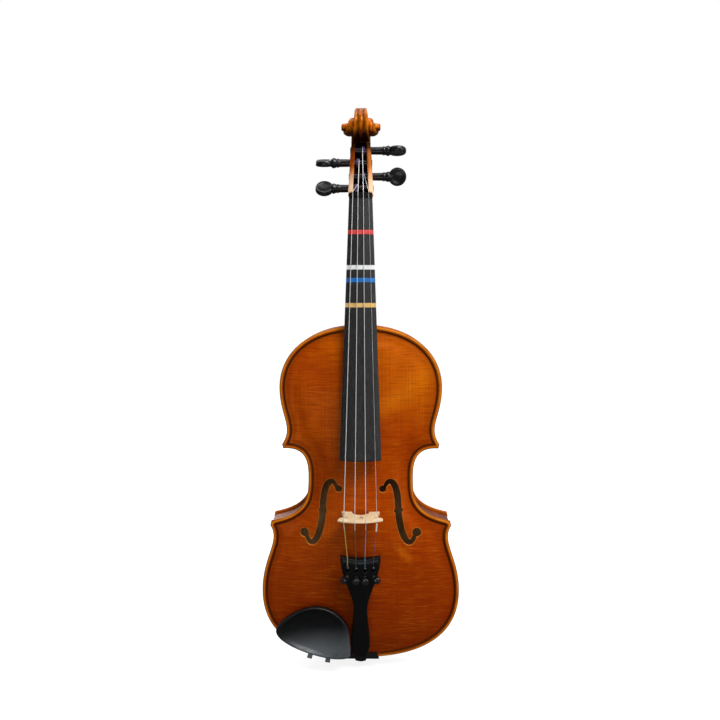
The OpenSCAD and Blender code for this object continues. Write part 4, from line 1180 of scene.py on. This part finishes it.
def screw_frame(i):
    flat = shift(SCREW_X[i], sagitta(SCREW_X[i], TAIL_CROWN), SCREW_Z)
    return TAIL @ flat @ turn(SCREW_SPLAY[i], "Z") @ turn(90, "X")


def tail_outline(inset=0.0):
    t = np.linspace(0, 1, 19)[1:]
    side = np.concatenate([bezier(c, t) for c in TAIL_CURVES])
    side = side[side[:, 0] > 0.01]
    x = np.linspace(-20.6, 20.6, 41)
    top = np.stack([x, TAIL_END_R - 2 - np.sqrt(TAIL_END_R**2 - x**2)], 1)
    whole = np.concatenate([top, side, [(0, -TAIL_LENGTH)], (side * (-1, 1))[::-1]])
    way = unit(np.roll(whole, -1, 0) - np.roll(whole, 1, 0))
    return whole - left_of(way) * inset


def make_tailpiece():
    """A crowned plate with a ridge along its upper end, and a hole and a slot for each string."""
    line = tail_outline()
    rings = inside_rings(tail_outline, (0.3, 0.8, 1.5, 2.6))
    holes = [smooth_corners(np.array([(x - 1.9, -16), (x + 1.9, -16), (x + 1.9, -7), (x - 1.9, -7)]), 3)
             for x in TUNER_X]
    slots = [np.array([(x - 0.7, -7.6), (x + 0.7, -7.6), (x + 0.7, 3), (x - 0.7, 3)]) for x in TUNER_X]
    screws = [arc((x, SCREW_Z), 2.05, 0, 345, 23) for x in SCREW_X]
    filler = fill(line, (-22, -118), (22, 2), 1.5, 3.2)
    flat, triangles = triangulate(rings + holes + slots + screws, filler, [line], holes + screws)
    x, z = flat.T
    gap = distance(flat, line) * inside(flat, tail_outline(-0.02))
    end_gap = np.hypot(x, z - TAIL_END_R + 2) - TAIL_END_R
    ridge = np.exp(-(((end_gap - 3.4) / 0.75) ** 2)) * ease((gap - 0.6) / 1.5)
    spine = 0.35 * np.exp(-((x / 2.6) ** 2)) * ease((-28 - z) / 20) * ease((z + 112) / 14)
    crown = -sagitta(np.clip(np.abs(x), 0, 22), TAIL_CROWN)
    top = crown - round_over(gap, 1.5) + RIDGE * ridge + spine

    def place(points, height):
        return in_tail(np.stack([points[:, 0], -height, points[:, 1]], 1))

    sunk = in_any(flat[triangles].mean(1), slots)
    shell = plate(flat, triangles, top, round_over(gap, 0.8) - TAIL_DEPTH, place, sunk, 1.3)
    # the ridge is painted lighter: a painted highlight
    piece("tailpiece_shaped", "tailpiece", shell, [TAIL_BLACK], crease=45, shade={"worn": np.tile(ridge, 3)})


def make_tuner_heads():
    """Knurled knobs on the four adjusting screws."""
    points, faces = lathe(KNOB, 96, 24, 0.35)
    foot = [np.mean([points[v][2] for v in f]) < KNOB_FOOT for f in faces]
    for i, n in enumerate(NAMES):
        node = f"tuner_knob_{n}"
        piece(node + "_knurled", node, moved((points, faces), screw_frame(i)), [KNOB_BLACK, BRIGHT],
              body=node, crease=30, layer=foot)


# -------- strings
STRING_RADIUS = [0.4, 0.37, 0.34, 0.16]
STRING_PLACE = [-1, -1 / 3, 1 / 3, 1]
BRIDGE_HALF, NUT_HALF = 16.6, 8.2  # from the middle to the outer strings
BRIDGE_CROWN, BRIDGE_RADIUS, BRIDGE_TILT = 43.8, 38.0, 1.0
SEAT = 0.04  # between a string and what it lies on
COIL_AT = [-3.4, -1.8, 1.6, 3.2]
COIL_TURNS = [3, 3, 3, 4]
SILK_BELOW = [149, 151, 147, 150]  # height under which the silk starts, near the bridge
SILK_ABOVE = [10, 30, 44, 14]  # height over the nut where the silk of the peg end starts
SILK = 0.1
BALL = [(0.5, -1.4), (1.4, -1.35), (1.7, -0.9), (1.7, 0.9), (1.4, 1.35), (0.5, 1.4)]
TUBE_SIDES = 10


def rounded(points, reach, steps=5):
    """A line whose corners are turned into short curves."""
    out = [points[0]]
    for before, here, after in zip(points, points[1:], points[2:]):
        a, b = [here + unit(p - here) * min(reach, np.linalg.norm(p - here) * 0.45) for p in (before, after)]
        out += [(1 - t) ** 2 * a + 2 * t * (1 - t) * here + t * t * b for t in np.linspace(0, 1, steps)]
    return np.array(out + [points[-1]])


def string_path(i):
    """The speaking line from the ball to the nut, and the coil round the peg."""
    r, xb, xn = STRING_RADIUS[i], STRING_PLACE[i] * BRIDGE_HALF, STRING_PLACE[i] * NUT_HALF
    crown = BRIDGE_CROWN - sagitta(abs(xb), BRIDGE_RADIUS) - BRIDGE_TILT * STRING_PLACE[i]
    over_bridge = -(EDGE_Y + crown) - r - SEAT
    over_nut = CROWN_AT_NUT - 0.5 + sagitta(abs(xn), BOARD_RADIUS) - r - SEAT
    low = sagitta(TUNER_X[i], TAIL_CROWN)
    line = [*in_tail([(TUNER_X[i], low + 0.6, -11.9), (TUNER_X[i], low + 0.4, -1)]),
            (xb, over_bridge, BRIDGE_H - 0.9 + BOTTOM), (xb, over_bridge, BRIDGE_H + 0.9 + BOTTOM),
            (xn, over_nut, NUT_H + 0.4 + BOTTOM), (xn, over_nut, NUT_H + 5.9 + BOTTOM)]
    coil_r = taper_radius(abs(COIL_AT[i]) + 4) + r + 0.12
    y, z = over_nut - PEG_Y[i], NUT_H + 5.9 - PEG_H[i]
    start = math.atan2(z, -y) + math.acos(coil_r / math.hypot(y, z))
    turned = np.linspace(0, 2 * math.pi * COIL_TURNS[i], COIL_TURNS[i] * 28)
    x = COIL_AT[i] + math.copysign(1, COIL_AT[i]) * (2 * r + 0.1) * turned / (2 * math.pi)
    a = start + turned
    coil = np.stack([x, PEG_Y[i] - coil_r * np.cos(a), PEG_H[i] + BOTTOM + coil_r * np.sin(a)], 1)
    straight = rounded(np.array(line + [coil[0]], float), 0.7)[:-1]
    pieces = []
    for p, q in zip(straight, straight[1:]):
        cuts = max(1, int(np.linalg.norm(q - p) / 6))
        pieces.append(p + (q - p) * np.linspace(0, 1, cuts, endpoint=False)[:, None])
    return np.concatenate(pieces + [straight[-1:], coil])


def make_strings():
    """Wound steel with silk at both ends, and a ball in the tuner's fork."""
    for i, n in enumerate(NAMES):
        path = string_path(i)
        h = path[:, 2] - BOTTOM
        silk_kind = np.where(h < SILK_BELOW[i], 1, np.where(h > NUT_H + SILK_ABOVE[i], 2, 0))
        strand = tube(path, STRING_RADIUS[i] + SILK * (silk_kind > 0), TUBE_SIDES)
        ball = moved(lathe(BALL, 24), shift(*path[0]) @ turn(90, "Y"))
        layer = [silk_kind[int(np.mean([v // TUBE_SIDES for v in f]))] for f in strand[1]]
        finishes = [STEEL, SILKS[i], PEG_SILK, DARK_METAL]
        piece(f"string_{n}_wound", f"string_{n}", joined(strand, ball), finishes, crease=50,
              layer=layer + [3] * len(ball[1]))


# -------- bridge
FOOT_X = np.array([8.8, 12.4, 16, 19.6])
BETWEEN_FEET = [(0, 20.5), (3.4, 20.0), (6.4, 18.2), (8.2, 15.5), (8.7, 13.6)]
BRIDGE_SIDE = [
    (19.75, 11.9), (18.8, 13.2), (17.2, 14.6), (16.4, 16.6), (16.4, 18.6), (17.0, 20.6), (18.1, 21.6),
    (18.3, 23.2), (17.4, 24.2), (16.0, 25.3), (15.7, 26.6), (16.5, 27.9), (18.4, 28.6), (20.6, 29.3),
    (22.4, 31.8),
]
HEART_H, HEART_SIZE = 29.4, 0.24
KIDNEY, KIDNEY_R = (14.6, 27.3), 2.0


def bridge_lines():
    """The bridge's outline and openings as (distance from the middle, height over the belly's edge)."""
    on_belly = arch(np.stack([FOOT_X, np.full(4, BRIDGE_H)], 1)) + 0.12
    x = np.linspace(22.8, 0, 15)
    crown = np.stack([x, BRIDGE_CROWN - sagitta(x, BRIDGE_RADIUS)], 1)
    inner, side = [smooth_corners(np.array(line), 1, False) for line in (BETWEEN_FEET, BRIDGE_SIDE)]
    half = np.concatenate([inner, np.stack([FOOT_X, on_belly], 1), side, crown])
    whole = np.concatenate([half, (half[half[:, 0] > 0.01] * (-1, 1))[::-1]])
    whole[:, 1] -= np.where(whole[:, 1] > 31, BRIDGE_TILT * whole[:, 0] / BRIDGE_HALF, 0)
    a = np.radians(np.linspace(0, 355, 40))
    lobes = 13 * np.cos(a) - 5 * np.cos(2 * a) - 2 * np.cos(3 * a) - np.cos(4 * a)
    heart = np.stack([3.4 * np.sin(a) ** 3, HEART_H + HEART_SIZE * lobes], 1)
    return whole, [heart] + [arc((side * KIDNEY[0], KIDNEY[1]), KIDNEY_R, 0, 345, 23) for side in (-1, 1)]


def make_bridge():
    line, holes = bridge_lines()
    filler = fill(line, (-23, 6), (23, 45), 0.9, 0.55, holes)
    flat, triangles = triangulate([line] + holes, filler, [line], holes)
    gap = np.min([distance(flat, other) for other in [line] + holes], axis=0)
    half = np.interp(flat[:, 1], (8, 46), (2.2, 0.72)) - 0.35 * (1 - ease(gap / 0.8)) * (flat[:, 1] > 12)

    def place(points, height):
        return np.stack([points[:, 0], -EDGE_Y - points[:, 1], BRIDGE_H + BOTTOM + height], 1)

    piece("bridge_carved", "bridge", plate(flat, triangles, half, -half, place), [BRIDGE_MAPLE], crease=50)


# -------- chin rest
REST_CURVES = [
    [(-88, 40), (-82, 52), (-62, 64), (-46, 64)],
    [(-46, 64), (-32, 64), (-16, 54), (-13, 40)],
    [(-13, 40), (-11, 30), (-10.5, 18), (-10.5, 12)],
    [(-10.5, 12), (-10.5, 8), (-20, 7.5), (-28, 8)],
    [(-28, 8), (-50, 10), (-92, 26), (-88, 40)],
]
REST_FRONT, REST_BACK = 41.0, 33.0
DISH_CENTRE, DISH_RADIUS, DISH_LIFT = (-50, 38), 90.0, 84.0


def rest_outline(inset=0.0):
    t = np.linspace(0, 1, 22)[:-1]
    line = np.concatenate([bezier(c, t) for c in REST_CURVES])
    way = unit(np.concatenate([slope(c, np.clip(t, 0.01, 0.99)) for c in REST_CURVES]))
    return line - left_of(way) * inset


def make_chin_rest():
    """A dished cup with a rounded lip, on a strip that stands over the ribs."""
    line = rest_outline()
    rings = inside_rings(rest_outline, (0.3, 0.8, 1.5, 2.2, 3.2, 4.6, 6.5))
    flat, triangles = triangulate(rings, fill(line, (-90, 6), (-8, 66), 1.8, 7.4), [line])
    gap = distance(flat, line)
    away = np.linalg.norm(flat - DISH_CENTRE, axis=1)
    dish = np.minimum(0, DISH_LIFT - np.sqrt(np.clip(DISH_RADIUS**2 - away**2, 0, None)))
    cup = REST_FRONT + dish * ease((gap - 1.0) / 4.5) - round_over(gap, 2.2)

    def place(points, height):
        return np.stack([points[:, 0], -height, points[:, 1] + BOTTOM], 1)

    shell = plate(flat, triangles, cup, REST_BACK + round_over(gap, 2) * 0.9, place)
    t = np.linspace(0.64, 0.86, 14)
    edge, way = bezier(LOWER[1], t), unit(slope(LOWER[1], t))
    outer, inner = [edge - left_of(way) * d for d in (5.0, 9.5)]
    strip = wall(outer, inner, -REST_BACK - 1.5, -EDGE_Y - 2.05, -1)
    piece("chin_rest_cup", "chin_rest", joined(shell, strip), [CHIN_BLACK], crease=45)


# -------- end button, gut
BUTTON_KNOB = [
    (0.05, 0.0), (2.0, 0.05), (4.6, 0.35), (6.2, 1.1), (6.85, 2.2), (7.0, 3.4), (6.85, 4.6), (6.3, 5.6),
    (5.5, 6.2), (5.1, 7.0), (5.0, 8.2), (5.3, 9.3), (6.1, 9.8), (6.2, 10.4),
]
BUTTON_SHANK = [(6.2, 2.6), (3.75, 2.7), (3.75, 17.6), (0.05, 18)]  # heights over the body's bottom edge
GUT_X, GUT_LOOP_R, GUT_LOOP_H = 4.5, 6.1, -4


def make_end_fittings():
    """The end button with its shank, and the gut from the tailpiece round it."""
    profile = BUTTON_KNOB + [(r, z + BOTTOM) for r, z in BUTTON_SHANK]
    piece("end_button_turned", "end_button", lathe(profile, 64), [PEG_BLACK], crease=40)
    strand = [*in_tail([(GUT_X, 4, 13 - TAIL_LENGTH), (GUT_X, 4, -TAIL_LENGTH - 1.3)]),
              (GUT_X, -EDGE_Y - 5.1, 2.2 + BOTTOM), (GUT_X, -EDGE_Y - 4.5, -1.4 + BOTTOM)]
    a = np.radians(np.arange(0, 181, 12))
    loop = np.stack([GUT_LOOP_R * np.cos(a), GUT_LOOP_R * np.sin(a), np.full(len(a), GUT_LOOP_H + BOTTOM)], 1)
    path = np.concatenate([strand, loop, (np.array(strand) * (-1, 1, 1))[::-1]])
    piece("tail_gut_loop", "tail_gut", tube(smooth_corners(path, 2, False), 1.0, 14), [GUT_BLACK], crease=60)


# -------- CAD nodes that stay
def dress(nodes, finish, bevel=0.0):
    for node in nodes:
        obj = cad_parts[node]
        obj.data.materials.clear()
        obj.data.materials.append(finish)
        if bevel:
            edge = obj.modifiers.new("soft edges", "BEVEL")
            edge.width, edge.segments, edge.limit_method = bevel * MM, 2, "ANGLE"
            edge.angle_limit = math.radians(40)
            edge.harden_normals = False


def dress_kept_nodes():
    dress(["linings_front", "linings_back", "neck_block", "end_block", "corner_blocks"], INSIDE)
    dress(["bass_bar", "sound_post"], INSIDE)
    dress(["nut"], PEG_BLACK, 0.4)
    dress(["saddle"], PEG_BLACK, 0.6)
    for finish, word in zip(TAPES, ("red", "white", "blue", "yellow")):
        dress(["tape_" + word], finish)
    dress(["string_e_sleeve"], WHITE)
    dress(["tuner_screw_" + n for n in NAMES], BRIGHT, 0.2)
    dress(["tuner_lever_" + n for n in NAMES], DARK_METAL, 0.15)
    dress(["tuner_pins", "tuner_bushes", "chin_rest_bracket", "chin_rest_foot"], BRIGHT, 0.2)
    dress(["chin_rest_barrel_left", "chin_rest_barrel_right"], BRIGHT, 0.2)
    dress(["chin_rest_corks", "chin_rest_foot_cork"], CORK, 0.2)


# -------- stage, light and camera
LIGHTS = [  # name, place, target, size, power
    ("key", (0.7, -1.1, 1.7), (0, 0, 0.3), (0.9, 0.7), 28),
    ("top", (0.0, -0.1, 1.9), (0, 0, 0.5), (1.2, 0.8), 8),
    ("side", (1.6, -0.9, 0.6), (0, 0, 0.3), (0.8, 1.4), 7),
    ("back", (-0.8, 1.6, 1.2), (0, 0, 0.3), (1.2, 1.0), 12),
    ("low", (-0.15, -0.95, 0.1), (-0.05, 0, 0.06), (0.6, 0.2), 1.2),
]
FLOOR_HALF = 12000.0


def make_floor():
    """A wide floor that is pale to the camera and throws little light back up."""
    half, low = FLOOR_HALF, cad_bounds[0].z / MM
    floor = raw_object("floor", (mirrored([(half, -half, low), (half, half, low)]), [(0, 1, 2, 3)]))
    pale = Finish("floor_pale", Roughness=0.9, Specular_IOR_Level=0.1, Emission_Color=(1, 1, 1, 1))
    seen = pale.node("ShaderNodeLightPath", output="Is Camera Ray")
    tone = pale.span(pale.noise(0.004, 2), 0.3, 0.7, 0.38, 0.4)
    floor.data.materials.append(pale.use(Base_Color=seen * (tone - 0.1) + 0.1, Emission_Strength=seen * 0.85))


def make_world():
    """White to the camera; for light and reflections, bright above and dim in front."""
    world = bpy.data.worlds.new("studio")
    bpy.context.scene.world = world
    world.use_nodes = True
    w = Nodes(world.node_tree)
    way = w.node("ShaderNodeTexCoord", output="Generated")
    above = w.node("ShaderNodeMapRange", {0: w.part(way, 2), 1: -0.2, 2: 0.9, 3: 0.1, 4: 1.1})
    behind = w.node("ShaderNodeMapRange", {0: w.part(way, 1), 1: -0.9, 2: 0.5, 3: 0.08, 4: 0.9})
    light = w.node("ShaderNodeBackground", {0: (0.97, 0.98, 1, 1), 1: above * behind})
    white = w.node("ShaderNodeBackground", {0: (1, 1, 1, 1)})
    seen = w.node("ShaderNodeLightPath", output="Is Camera Ray")
    mixed = w.node("ShaderNodeMixShader", {0: seen, 1: light, 2: white})
    w.set(world.node_tree.nodes["World Output"], 0, mixed)


def put(name, data, place, target):
    """A new object that looks at a target along its own -Z."""
    obj = bpy.data.objects.new(name, data)
    bpy.context.scene.collection.objects.link(obj)
    obj.location = place
    obj.rotation_mode = "QUATERNION"
    obj.rotation_quaternion = (Vector(target) - obj.location).to_track_quat("-Z", "Y")
    return obj


def make_lights():
    for name, place, target, size, power in LIGHTS:
        data = bpy.data.lights.new(name, "AREA")
        data.shape, data.size, data.size_y, data.energy = "RECTANGLE", size[0], size[1], power
        put(name, data, place, target)


def make_camera():
    data = bpy.data.cameras.new("camera")
    data.lens, data.sensor_width = 36.97, 36.0
    data.clip_start, data.clip_end = 0.01, 50
    bpy.context.scene.camera = put("camera", data, (0.0065, -0.7837, 0.3950), (-0.0007, -0.0195, 0.3323))


# -------- build
make_belly()
make_back()
make_ribs()
make_neck()
make_scroll()
make_fingerboard()
make_pegs()
make_tailpiece()
make_tuner_heads()
make_strings()
make_bridge()
make_chin_rest()
make_end_fittings()
dress_kept_nodes()
make_floor()
make_world()
make_lights()
make_camera()
bpy.context.scene.view_settings.view_transform = "Standard"

bpy.context.view_layer.update()
